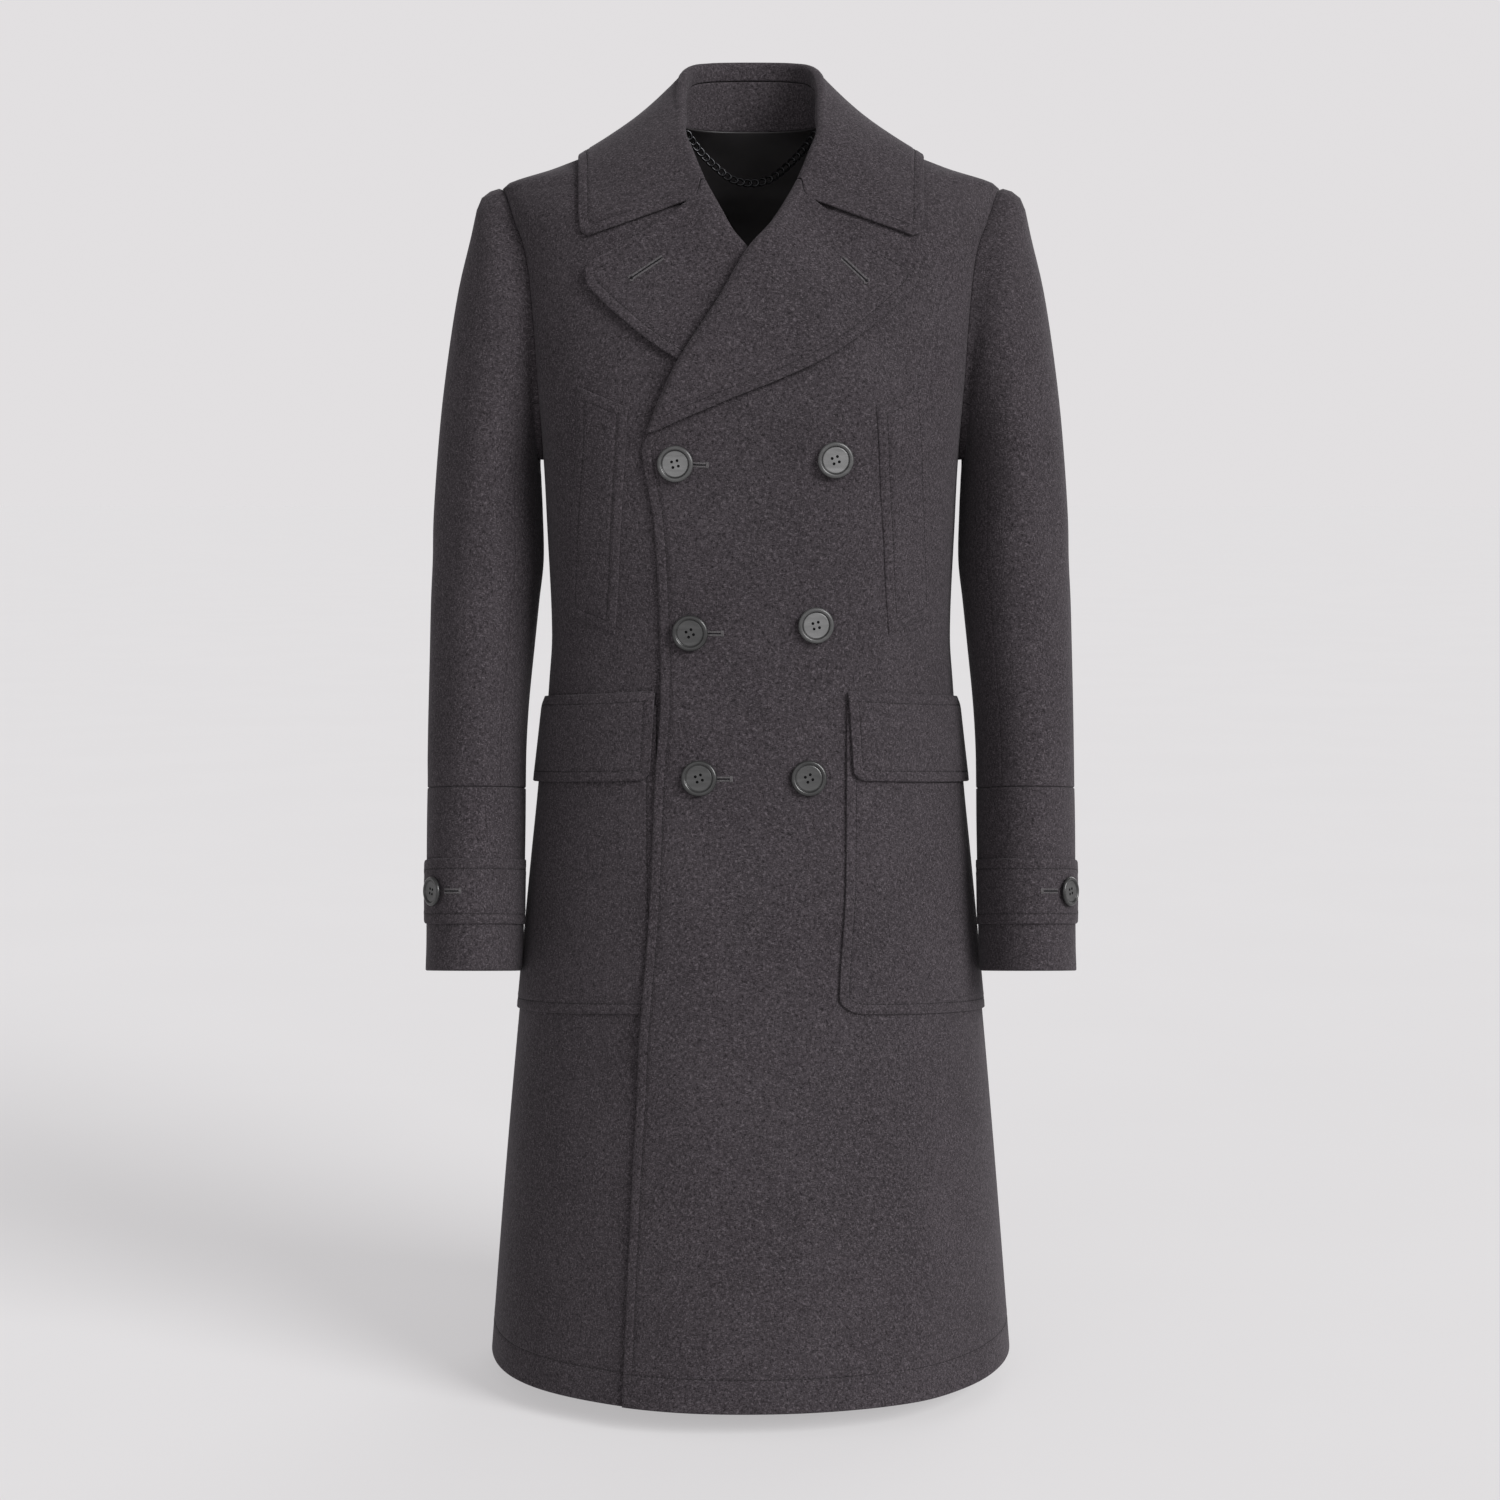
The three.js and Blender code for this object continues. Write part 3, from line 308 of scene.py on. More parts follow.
# Rows of a front or back across its hem's stitch line
HEM_ROWS = (-3, -1.4, -0.7, 0, 0.7, 1.4, 3)


def mix(a, b, share):
    return a + (b - a) * share


def ease(share):
    held = np.clip(share, 0, 1)
    return held * held * (3 - 2 * held)


def cos_sin(degrees):
    angle = np.radians(degrees)
    return np.cos(angle), np.sin(angle)


def unit(vectors):
    length = np.linalg.norm(vectors, axis=-1, keepdims=True)
    return vectors / np.maximum(length, 1e-12)


def cubic(t, step, start, end, rise, fall):
    """A cubic from start to end over a step, with the slopes rise and fall there."""
    near = start * (1 + 2 * t) + step * rise * t
    far = end * (3 - 2 * t) - step * fall * (1 - t)
    return near * (1 - t) ** 2 + far * t * t


def curve(rows, key, column):
    """A smooth line through one column of a table, without overshoot."""
    ordered = sorted(rows, key=lambda row: row[key])
    x = np.array([row[key] for row in ordered], float)
    y = np.array([row[column] for row in ordered], float)
    step = np.diff(x)
    rise = np.diff(y) / step
    slope = np.zeros(len(x))
    slope[0], slope[-1] = rise[0], rise[-1]
    for i in range(1, len(x) - 1):
        if rise[i - 1] * rise[i] > 0:
            near = 2 * step[i] + step[i - 1]
            far = step[i] + 2 * step[i - 1]
            slope[i] = (near + far) / (near / rise[i - 1] + far / rise[i])

    def at(value):
        held = np.clip(value, x[0], x[-1])
        i = np.clip(np.searchsorted(x, held) - 1, 0, len(x) - 2)
        return cubic((held - x[i]) / step[i], step[i], y[i], y[i + 1], slope[i], slope[i + 1])

    return at


trunk_half = curve(TRUNK, "level", "half")
trunk_front = curve(TRUNK, "level", "front")
trunk_back = curve(TRUNK, "level", "back")
trunk_square = curve(TRUNK, "level", "square")
opening = curve(OPENING, "level", "x")
lapel_edge = curve(LAPEL_EDGE, "level", "x")


def fold_lift(rows, turn, level):
    """Height of all the soft folds at a turn and level."""
    total = np.zeros(np.broadcast(turn, level).shape)
    for row in rows:
        down = level - row["level"]
        line = row["turn"] - row["lean"] * down / 100
        apart = (turn - line + 180) % 360 - 180
        total = total + row["height"] * np.exp(-((apart / row["wide"]) ** 2) - (down / row["tall"]) ** 2)
    return total


def trunk_field(x, y, level):
    """1 on the trunk, more outside it."""
    power = trunk_square(level)
    depth = np.where(y < 0, trunk_front(level), trunk_back(level))
    across = (np.abs(x) / trunk_half(level)) ** power
    return (across + (np.abs(y) / depth) ** power) ** (1 / power)


def trunk_slope(point):
    d = 0.05
    x, y, z = point[..., 0], point[..., 1], point[..., 2]
    return np.stack([
        trunk_field(x + d, y, z) - trunk_field(x - d, y, z),
        trunk_field(x, y + d, z) - trunk_field(x, y - d, z),
        trunk_field(x, y, z + d) - trunk_field(x, y, z - d),
    ], -1) / (2 * d)


def trunk_plain(turn, level):
    """A point and normal on the trunk without its folds."""
    turn, level = np.broadcast_arrays(np.asarray(turn, float), np.asarray(level, float))
    c, s = cos_sin(turn)
    reach = 1 / trunk_field(s, -c, level)
    point = np.stack([reach * s, -reach * c, level], -1)
    return point, unit(trunk_slope(point))


def on_trunk(turn, level, lift=0.0):
    """A point and normal on the trunk, by its turn from the front in degrees and its level."""
    point, normal = trunk_plain(turn, level)
    raised = lift + fold_lift(TRUNK_FOLDS, turn, level)
    return point + normal * np.asarray(raised)[..., None], normal


def turn_at(x, level):
    power = trunk_square(level)
    left = 1 - np.minimum(np.abs(x) / trunk_half(level), 1) ** power
    return np.degrees(np.arctan2(x, trunk_front(level) * left ** (1 / power)))


def keep_off(point, distance, exact=False):
    """Moves points out to a least distance from the trunk, or right onto that distance."""
    moved = np.array(point, float)
    for _ in range(6):
        slope = trunk_slope(moved)
        steep = np.linalg.norm(slope, axis=-1)
        away = (trunk_field(moved[..., 0], moved[..., 1], moved[..., 2]) - 1) / steep
        push = (distance - away) / steep
        if not exact:
            push = np.where(away < distance, push, 0)
        moved = moved + slope * push[..., None]
    return moved


def over_lift(x, level):
    """Lift of the left front where it lies over the right front, its lapel and its pocket."""
    over_front = ease((75 - opening(level) - x) / SETTLE)
    in_lapel = ease((x + lapel_edge(level) + 66) / SETTLE) * ease((level + 312) / 44)
    in_pocket = ease((-20 - x) / SETTLE) * ease((-445 - level) / 40) * ease((level + 812) / SETTLE)
    return LAYER * over_front * (1 + in_lapel) + POCKET_COVER * in_pocket


def front_lift(side, x, level):
    return over_lift(x, level) if side > 0 else 0 * (x + level)


def on_front(side, x, level, lift=0.0):
    """A point on a front, x counted from the middle to that front's own side."""
    x, level = np.asarray(x, float), np.asarray(level, float)
    return on_trunk(side * turn_at(x, level), level, front_lift(side, x, level) + lift)


def armhole_turn(level, behind):
    height = np.clip((level - ARMHOLE["middle"]) / ARMHOLE["half"], -1, 1)
    reach = np.sin(np.arccos(height)) ** np.where(height > 0, 1, 0.8)
    y = reach * (ARMHOLE["back"] if behind else ARMHOLE["front"])
    power = trunk_square(level)
    depth = trunk_back(level) if behind else trunk_front(level)
    x = trunk_half(level) * (1 - (y / depth) ** power) ** (1 / power)
    return np.degrees(np.arctan2(x, -y if behind else y))


def armhole_level(angle):
    return ARMHOLE["middle"] + ARMHOLE["half"] * math.cos(math.radians(angle))


def spread(length, start, end, step):
    """Shares of lengths: close stops at the two ends, and even ones between."""
    length = np.atleast_1d(np.asarray(length, float))[:, None]
    count = max(int((length.max() - start[-1] - end[-1]) / step), 1)
    scale = np.minimum(1, length * 0.3 / max(start[-1], end[-1]))
    low = np.array(start) * scale / length
    high = 1 - np.array(end[::-1]) * scale / length
    between = low[:, -1:] + (high[:, :1] - low[:, -1:]) * np.linspace(0, 1, count + 2)[1:-1]
    return np.hstack([low, between, high])


def measure(surface, v):
    """Length of the line from u = 0 to 1 at each v."""
    v = np.asarray(v)[:, None]
    u = np.linspace(0, 1, 60)[None, :] + 0 * v
    points = surface(u, v + 0 * u)
    return np.linalg.norm(np.diff(points, axis=1), axis=2).sum(1)


def grid(surface, v, start=EDGE, end=EDGE, step=6):
    """Points of a surface in rows at v, with close stops at the start and end of each row."""
    v = np.asarray(v, float)
    u = spread(measure(surface, v), start, end, step)
    return surface(u, v[:, None] + 0 * u)


def stops_of(length, start=EDGE, end=EDGE, step=6):
    return spread([length], start, end, step)[0]


def down_stops(surface, start=EDGE, end=EDGE, step=6):
    """Values of v for rows: close at both ends of the surface's middle line."""
    return stops_of(measure(lambda v, u: surface(u, v), [0.5])[0], start, end, step)


def grid_normals(points, loop=False):
    if loop:
        wrapped = np.concatenate([points[:, -2:-1], points, points[:, 1:2]], axis=1)
        along = wrapped[:, 2:] - wrapped[:, :-2]
    else:
        along = np.gradient(points, axis=1)
    return unit(np.cross(along, np.gradient(points, axis=0)))


def edge_distance(points, loop):
    """Distance along the cloth from each point to its nearest edge."""
    def both_ways(axis):
        run = np.cumsum(np.linalg.norm(np.diff(points, axis=axis), axis=2), axis=axis)
        run = np.concatenate([0 * np.take(run, [0], axis=axis), run], axis=axis)
        return np.minimum(run, np.take(run, [-1], axis=axis) - run)
    return both_ways(0) if loop else np.minimum(both_ways(0), both_ways(1))


def resample(line, pitch):
    run = np.concatenate([[0], np.cumsum(np.linalg.norm(np.diff(line, axis=0), axis=1))])
    at = np.linspace(0, run[-1], max(int(run[-1] / pitch), 1) + 1)
    return np.stack([np.interp(at, run, line[:, k]) for k in range(line.shape[1])], 1)


def tree_of(points):
    tree = KDTree(len(points))
    for k, place in enumerate(points):
        tree.insert(place, k)
    tree.balance()
    return tree


def inset(points, sides, distance=STITCH_INSET):
    """Lines on a cloth at a distance inside some of its sides, trimmed where they meet."""
    strips = {
        "start": points.transpose(1, 0, 2), "end": points[:, ::-1].transpose(1, 0, 2),
        "top": points, "bottom": points[::-1],
    }
    normals = grid_normals(points).reshape(-1, 3)
    nearest = tree_of(points.reshape(-1, 3))
    borders = []
    for side in sides:
        name, low, high = side if isinstance(side, tuple) else (side, 0, 1)
        strip = strips[name]
        both = resample(np.hstack([strip[0], strip[min(7, len(strip) - 1)]]), LINE_PITCH)
        count = len(both) - 1
        borders.append(both[int(low * count):int(high * count) + 1])
    edges = tree_of(np.vstack([both[:, :3] for both in borders]))
    lines = []
    for both in borders:
        edge = both[:, :3]
        along = unit(np.gradient(edge, axis=0))
        out = normals[[nearest.find(place)[1] for place in edge]]
        inward = unit(np.cross(out, along))
        if (inward * (both[:, 3:] - edge)).sum() < 0:
            inward = -inward
        line = []
        for place in list(edge + inward * distance) + [None]:
            kept = place is not None and edges.find(place)[2] > distance - 0.4
            if kept:
                at, k, _ = nearest.find(place)
                place = place - normals[k] * np.dot(place - np.array(at), normals[k])
                kept = not line or np.linalg.norm(place - line[-1]) < 3 * LINE_PITCH
            if kept:
                line.append(place)
                continue
            if len(line) > 2:
                lines.append(np.array(line))
            line = []
    return lines


def piece(name, vertices, faces, look):
    """A smooth mesh object from millimetre vertices and faces."""
    mesh = bpy.data.meshes.new(name)
    mesh.from_pydata((np.asarray(vertices) * MM).tolist(), [], [list(map(int, face)) for face in faces])
    mesh.shade_smooth()
    mesh.materials.append(look)
    made = bpy.data.objects.new(name, mesh)
    bpy.context.scene.collection.objects.link(made)
    return made


def hand_over(made, slot, node=None):
    """Says what a piece rides on and hides the node that it stands for; its material's slot is not used."""
    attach(made, "root")
    if node:
        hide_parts(node)


# How each cloth is held, and the solids that it lies on
HELD = {
    "front_left": ("hung", ["front_right"]), "front_right": ("hung", ["back_right"]),
    "back_left": ("hung", ["back_right"]), "back_right": ("hung", ["back_left"]),
    "back_lining": ("hung", ["back_left", "back_right"]),
    "collar_fall": ("folded", ["collar_stand", "back_left", "back_right"]),
    "collar_stand": ("folded", ["back_left", "back_right"]),
}
for hand, _ in HANDS:
    front = f"front_{hand}"
    HELD[f"lapel_{hand}"] = ("folded", [front])
    HELD[f"sleeve_top_{hand}"] = ("hung", [front, f"back_{hand}"])
    HELD[f"sleeve_under_{hand}"] = HELD[f"cuff_{hand}"] = ("hung", [f"sleeve_top_{hand}"])
    HELD[f"cuff_strap_{hand}"] = ("laid", [f"cuff_{hand}"])
    HELD[f"pocket_{hand}"] = HELD[f"chest_welt_{hand}"] = ("laid", [front])
    HELD[f"pocket_flap_{hand}"] = ("laid", [f"pocket_{hand}"])

# Every stitch line with its normals
STITCHES = []


def sink_seams(points, normals, near, raised, seams, thickness):
    """Sinks stitch lines into a cloth's outer face, with a soft ridge beside each."""
    lines = tree_of(np.vstack(seams))
    for i, j in np.argwhere(near > 0.9):
        gap = lines.find(points[i, j])[2]
        if gap < 7:
            raised[i, j] -= SINK * math.exp(-((gap / GROOVE) ** 2))
            raised[i, j] += RIDGE["height"] * math.exp(-(((gap - RIDGE["off"]) / RIDGE["wide"]) ** 2))
    nearest = tree_of(points.reshape(-1, 3))
    for line in seams:
        out = unit(normals.reshape(-1, 3)[[nearest.find(place)[1] for place in line]])
        STITCHES.append((line + out * (thickness / 2 - SINK + 0.12), out))


def cloth(node, points, seams=(), thickness=CLOTH, slot="wool", loop=False, centre=(0, 0, 0)):
    """A closed shell of cloth on a grid of middle points, with round edges and sunk stitch lines."""
    normals = grid_normals(points, loop)
    flip = (normals * (points - centre) * (1, 1, 0)).sum() < 0
    if flip:
        normals = -normals
    rows, columns = points.shape[:2]
    near = np.clip(edge_distance(points, loop) / (thickness * 0.6), 0, 1)
    half = thickness / 2 * np.sqrt(np.maximum(1 - (1 - near) ** 2, 0))
    raised = half.copy()
    if len(seams):
        sink_seams(points, normals, near, raised, seams, thickness)
    outer = points + normals * raised[..., None]
    inner = points - normals * half[..., None]
    wide = columns - 1 if loop else columns
    top = np.arange(rows * wide).reshape(rows, wide)
    rim = np.zeros((rows, wide), bool)
    rim[[0, -1]] = True
    if not loop:
        rim[:, [0, -1]] = True
    low = np.where(rim, top, -1)
    low[~rim] = rows * wide + np.arange((~rim).sum())
    vertices = np.vstack([outer[:, :wide].reshape(-1, 3), inner[:, :wide][~rim]])
    if loop:
        top = np.hstack([top, top[:, :1]])
        low = np.hstack([low, low[:, :1]])
    up = np.stack([top[:-1, :-1], top[1:, :-1], top[1:, 1:], top[:-1, 1:]], -1).reshape(-1, 4)
    down = np.stack([low[:-1, :-1], low[:-1, 1:], low[1:, 1:], low[1:, :-1]], -1).reshape(-1, 4)
    if not flip:
        up, down = up[:, ::-1], down[:, ::-1]
    made = piece(f"{node}_cloth", vertices, np.vstack([up, down]), LOOKS[slot])
    hand_over(made, slot, node)


def smooth_between(lines, knots, at):
    """Lines between given lines: a smooth curve through each point's places at the knots."""
    lines, knots, at = np.asarray(lines, float), np.asarray(knots, float), np.asarray(at, float)
    slope = np.empty_like(lines)
    slope[1:-1] = (lines[2:] - lines[:-2]) / (knots[2:] - knots[:-2])[:, None, None]
    slope[0] = (lines[1] - lines[0]) / (knots[1] - knots[0])
    slope[-1] = (lines[-1] - lines[-2]) / (knots[-1] - knots[-2])
    i = np.clip(np.searchsorted(knots, at, side="right") - 1, 0, len(knots) - 2)
    step = (knots[i + 1] - knots[i])[:, None, None]
    t = ((at - knots[i]) / (knots[i + 1] - knots[i]))[:, None, None]
    return cubic(t, step, lines[i], lines[i + 1], slope[i], slope[i + 1])


def knots_of(lines):
    """Knots at the mean distances between lines."""
    gaps = np.linalg.norm(np.diff(lines, axis=0), axis=2).mean(1)
    return np.concatenate([[0], np.cumsum(np.maximum(gaps, 0.2))])


# Materials. Every number sits directly on a shader's socket.
def set_inputs(node, values):
    for name, value in values.items():
        node.inputs[name].default_value = value


def new_look(name):
    look = bpy.data.materials.new(name)
    look.use_nodes = True
    tree = look.node_tree
    return look, tree, tree.nodes["Principled BSDF"], tree.nodes.new("ShaderNodeTexCoord")


def noise(tree, place, scale, detail=3.0, rough=0.55, stretch=None):
    node = tree.nodes.new("ShaderNodeTexNoise")
    set_inputs(node, {"Scale": scale, "Detail": detail, "Roughness": rough})
    source = place.outputs["Object"]
    if stretch:
        mapping = tree.nodes.new("ShaderNodeMapping")
        set_inputs(mapping, {"Rotation": stretch[0], "Scale": stretch[1]})
        tree.links.new(source, mapping.inputs["Vector"])
        source = mapping.outputs["Vector"]
    tree.links.new(source, node.inputs["Vector"])
    return node.outputs[0]


def ramp(tree, source, *stops):
    node = tree.nodes.new("ShaderNodeValToRGB")
    marks = node.color_ramp.elements
    while len(marks) < len(stops):
        marks.new(0.5)
    for mark, (position, colour) in zip(marks, stops):
        mark.position = position
        mark.color = (*colour, 1)
    tree.links.new(source, node.inputs["Fac"])
    return node.outputs["Color"]


def grey(value):
    return (value, value, value)


def tint(colour, share, more=0.0):
    return tuple(channel * share + more for channel in colour)


def blend(tree, under, field, marks, colour):
    """A colour laid over another where a field is strong, by a ramp of greys."""
    node = tree.nodes.new("ShaderNodeMix")
    node.data_type = "RGBA"
    mask = ramp(tree, field, *[(position, grey(level)) for position, level in marks])
    tree.links.new(mask, node.inputs[0])
    tree.links.new(under, node.inputs[6])
    node.inputs[7].default_value = (*colour, 1)
    return node.outputs[2]


def bump(tree, height, strength, distance, under=None):
    node = tree.nodes.new("ShaderNodeBump")
    set_inputs(node, {"Strength": strength, "Distance": distance})
    tree.links.new(height, node.inputs["Height"])
    if under is not None:
        tree.links.new(under, node.inputs["Normal"])
    return node.outputs["Normal"]


def wool_look(name, base, deep):
    """Heathered wool: light and dark fibres in several directions over a mottled ground."""
    look, tree, shader, place = new_look(name)
    colour = ramp(tree, noise(tree, place, 14, 4, 0.6), (0.3, deep), (0.7, base))
    mottle = noise(tree, place, 340, 3, 0.6)
    colour = blend(tree, colour, mottle, ((0.36, 0.4), (0.5, 0)), tint(deep, 0.62))
    colour = blend(tree, colour, mottle, ((0.5, 0), (0.66, 0.4)), tint(base, 1.5))
    fibres = (
        (((0.3, 0.2, 0.6), (1, 1, 5)), 430, (0.58, 0.7), 2.4),
        (((1.1, 0.5, -0.4), (1, 5, 1)), 390, (0.6, 0.72), 2.1),
        (((-0.6, 1.2, 0.9), (5, 1, 1)), 410, (0.6, 0.72), 2.1),
    )
    heights = []
    for stretch, scale, (low, high), strength in fibres:
        fibre = noise(tree, place, scale, 2, 0.5, stretch)
        heights.append(fibre)
        colour = blend(tree, colour, fibre, ((low, 0), (high, 0.85)), tint(base, strength, 0.008))
        colour = blend(tree, colour, fibre, ((0.3, 0.85), (0.42, 0)), tint(deep, 0.35))
    tree.links.new(colour, shader.inputs["Base Color"])
    set_inputs(shader, {
        "Roughness": 0.95, "Specular IOR Level": 0.1,
        "Sheen Weight": 0.08, "Sheen Roughness": 0.45, "Sheen Tint": (0.85, 0.8, 0.85, 1),
    })
    fine = bump(tree, heights[0], 0.35, 0.0004)
    felt = bump(tree, noise(tree, place, 160, 4, 0.6), 0.35, 0.0014, fine)
    tree.links.new(felt, shader.inputs["Normal"])
    return look


def plain_look(name, colour, roughness, metallic=0.0, specular=0.5, scale=60, contrast=0.25):
    look, tree, shader, place = new_look(name)
    field = noise(tree, place, scale, 3, 0.5)
    tones = (0.35, tint(colour, 1 - contrast)), (0.65, tint(colour, 1 + contrast))
    tree.links.new(ramp(tree, field, *tones), shader.inputs["Base Color"])
    set_inputs(shader, {"Roughness": roughness, "Metallic": metallic, "Specular IOR Level": specular})
    return look


def horn_look(name, tones, roughness):
    """Horn with soft streaks, polished."""
    look, tree, shader, place = new_look(name)
    streaks = noise(tree, place, 45, 4, 0.6, ((0.2, 0.1, 0.5), (1, 1, 5)))
    stops = [(position, grey(tone)) for position, tone in zip((0.3, 0.55, 0.75), tones)]
    tree.links.new(ramp(tree, streaks, *stops), shader.inputs["Base Color"])
    set_inputs(shader, {"Roughness": roughness})
    return look


WOOL = wool_look("wool", (0.0365, 0.0314, 0.0351), (0.0277, 0.0236, 0.0266))
SATIN = plain_look("lining", (0.026, 0.024, 0.025), 0.5, specular=0.4, scale=30, contrast=0.15)
# Horn for the buttons. The base tone is the darkest, and on each button it also stands as painted shade in
# the groove. The lighter rim and face tones are painted reflection, strongest on the buttons that catch the
# light.
HORN = horn_look("horn", (0.012, 0.02, 0.034), 0.3)
HORN_RIM_PAINTED_SHEEN = horn_look("horn_rim_painted_sheen", (0.036, 0.05, 0.07), 0.35)
HORN_FACE_PAINTED_SHEEN = horn_look("horn_face_painted_sheen", (0.088, 0.115, 0.15), 0.45)
HORN_FACE_FAINT_SHEEN = horn_look("horn_face_faint_sheen", (0.022, 0.034, 0.05), 0.36)
STEEL = plain_look("dark_steel", (0.02, 0.02, 0.022), 0.25, 0.7, scale=90)
# Stitch thread, darker than the cloth: its own dark colour, taken darker still to paint the shade along the
# sunk stitch line
THREAD_AND_PAINTED_SHADE = plain_look("thread_and_painted_shade", (0.017, 0.015, 0.0165), 0.8, specular=0.2, scale=900, contrast=0.3)
CORD = plain_look("cord_thread", (0.075, 0.07, 0.073), 0.75, specular=0.25, scale=900, contrast=0.3)
# Near-black painted shade: the strips in the buttonhole slits and eyelets, and the threads in the buttons'
# holes
SHADE = plain_look("slit_painted_shade", (0.006, 0.006, 0.007), 0.9, specular=0.1)
LOOKS = {"wool": WOOL, "lining": SATIN}


# Fronts, backs and the lining of the back
def body_levels():
    """Levels of the rows: close at the neck, at the hem and its stitching, and round the armholes."""
    kept = [NECK - step for step in EDGE] + [HEM + step for step in EDGE] + [SHOULDER]
    kept += [HEM + HEM_STITCH + step for step in HEM_ROWS]
    plain = list(np.arange(NECK - 6, SHOULDER, -2.5)) + list(np.arange(-60, HEM + 8, -7.5))
    plain += [armhole_level(angle) for angle in range(4, 181, 4)]
    for level in plain:
        if min(abs(level - other) for other in kept) > 1.5:
            kept.append(level)
    return np.array(sorted(kept, reverse=True), float)


def front_surface(side):
    def place(u, v):
        turn = mix(turn_at(opening(v), v), armhole_turn(v, False), u)
        x = trunk_plain(turn, v)[0][..., 0]
        return on_trunk(side * turn, v, front_lift(side, x, v))[0]
    return place


def back_surface(side):
    def place(u, v):
        turn = mix(armhole_turn(v, True), 180, u)
        return on_trunk(side * turn, v)[0]
    return place


def make_body():
    levels = body_levels()
    for hand, side in HANDS:
        points = grid(front_surface(side), levels, start=STITCHED)
        seams = inset(points, ["bottom"], HEM_STITCH) + inset(points, [("start", *FRONT_STITCHING)])
        cloth(f"front_{hand}", points, seams)
        points = grid(back_surface(side), levels, step=7)
        cloth(f"back_{hand}", points, inset(points, ["bottom"], HEM_STITCH))
    depth = -(CLOTH + LINING) / 2 - 0.9
    levels = [NECK + rise for rise in (2.4, 1.6, 0.8)] + [level for level in levels if level > LINING_END + 5]
    levels += [LINING_END + step for step in EDGE[::-1]]

    def lining(u, v):
        low = armhole_turn(v, True) + 1.2
        return on_trunk(mix(low, 360 - low, u), v, depth)[0]
    cloth("back_lining", grid(lining, levels, step=8), thickness=LINING, slot="lining")


# Lapels: an arc over the roll, then the cloth settles on the front
def roll_radius(side, level):
    start, height = ROLL_OPENS[side]
    return mix(LAYER / 2, ROLL, ease((level - start) / height))


def settle(side, radius, distance):
    return mix(2 * radius, LAYER + LAPEL_LIFT[side], ease(distance / SETTLE))


def roll_arc(side, x, level, toward, radius, angle):
    """Points of the arc over a roll that starts at x, level and turns towards a place."""
    point, normal = on_front(side, x, level)
    ahead = unit(np.stack([toward[0] - x, toward[1] - level], -1))
    near, _ = on_front(side, x + ahead[..., 0], level + ahead[..., 1])
    away = near - point
    away = unit(away - normal * (away * normal).sum(-1, keepdims=True))
    c, s = (np.asarray(part)[..., None] for part in cos_sin(angle))
    radius = np.asarray(radius, float)[..., None]
    return point + normal * radius - (away * s + normal * c) * radius


# Shares of a lapel's width: the arc over the roll, and the bend of its lines after the arc
ARC_SHARE = 0.13
BEND_SHARE = 0.09


def lapel_surface(side):
    def place(u, v):
        level = mix(LAPEL_TOP, LAPEL_FOOT, v)
        x = opening(level)
        outer_level = mix(LAPEL_EDGE[-1]["level"], LAPEL_EDGE[0]["level"], v**1.12)
        outer_x = lapel_edge(outer_level)
        top = np.clip(1 - v * 12.4, 0, 1)
        bend_x = mix(mix(x, outer_x, BEND_SHARE), NOTCH[0], top)
        bend_level = mix(mix(level, outer_level, BEND_SHARE), NOTCH[1], top)
        radius = roll_radius(side, level)
        angle = mix(np.degrees(np.arcsin(0.3 / radius)), 180, np.clip(u / ARC_SHARE, 0, 1))
        arc = roll_arc(side, x, level, (outer_x, outer_level), radius, angle)
        share = np.clip((u - ARC_SHARE) / (1 - ARC_SHARE), 0, 1)
        first = np.clip(share / BEND_SHARE, 0, 1)
        second = np.clip((share - BEND_SHARE) / (1 - BEND_SHARE), 0, 1)
        bent = share >= BEND_SHARE
        flat_x = np.where(bent, mix(bend_x, outer_x, second), mix(x, bend_x, first))
        flat_level = np.where(bent, mix(bend_level, outer_level, second), mix(level, bend_level, first))
        lift = settle(side, radius, np.hypot(flat_x - x, flat_level - level))
        # The outer edge and the top stand a little further off
        lift = lift + 2.3 * ease((share - 0.8) / 0.2) * ease((0.96 - v) / 0.3)
        lift = lift + 1.3 * ease((0.14 - v) / 0.14) * ease((share - 0.15) / 0.3)
        flat, _ = on_front(side, flat_x, flat_level, lift)
        return np.where((u < ARC_SHARE)[..., None], arc, flat)
    return place


def make_lapels():
    roll_stops = (0, 1.2, 2.4, 3.6, 4.8, 6, 7.2, 8.4, 9.6, 11, 12.6)
    for hand, side in HANDS:
        surface = lapel_surface(side)
        points = grid(surface, down_stops(surface, STITCHED, EDGE, 5), roll_stops, STITCHED, 5)
        cloth(f"lapel_{hand}", points, inset(points, [("end", 0, 0.985), ("top", 0.22, 1)]))


# Collar
ARC = (45, 90, 135, 180)
FRONT_ARC = (3, 14.5, *ARC)
FALL = (0.12, 0.3, 0.52, 0.76, 1)


def collar_section(row):
    if row["turn"] is None:
        seam, normal = (v * MIRROR for v in on_front(-1, opening(row["level"]), row["level"]))
    else:
        seam, normal = on_trunk(row["turn"], NECK)
    fold, out = np.array(row["fold"], float), unit(np.array(row["out"], float))
    rise = fold - seam
    rise = unit(rise - out * rise.dot(out))
    middle = fold - rise * ROLL
    foot = middle - out * ROLL
    neck = seam + rise * (NECK_GAP + 0.5 * CLOTH * abs(rise.dot(normal)))
    return neck, foot, middle, out, rise, np.array(row["edge"], float)


def fall_to(start, place):
    edge = keep_off(place, COLLAR_CLEAR, True)
    return [keep_off(mix(start, edge, share), COLLAR_CLEAR) for share in FALL]


def stand_share(neck, foot):
    return max(1 - STAND_SEAM / max(np.linalg.norm(foot - neck), 1), 0)


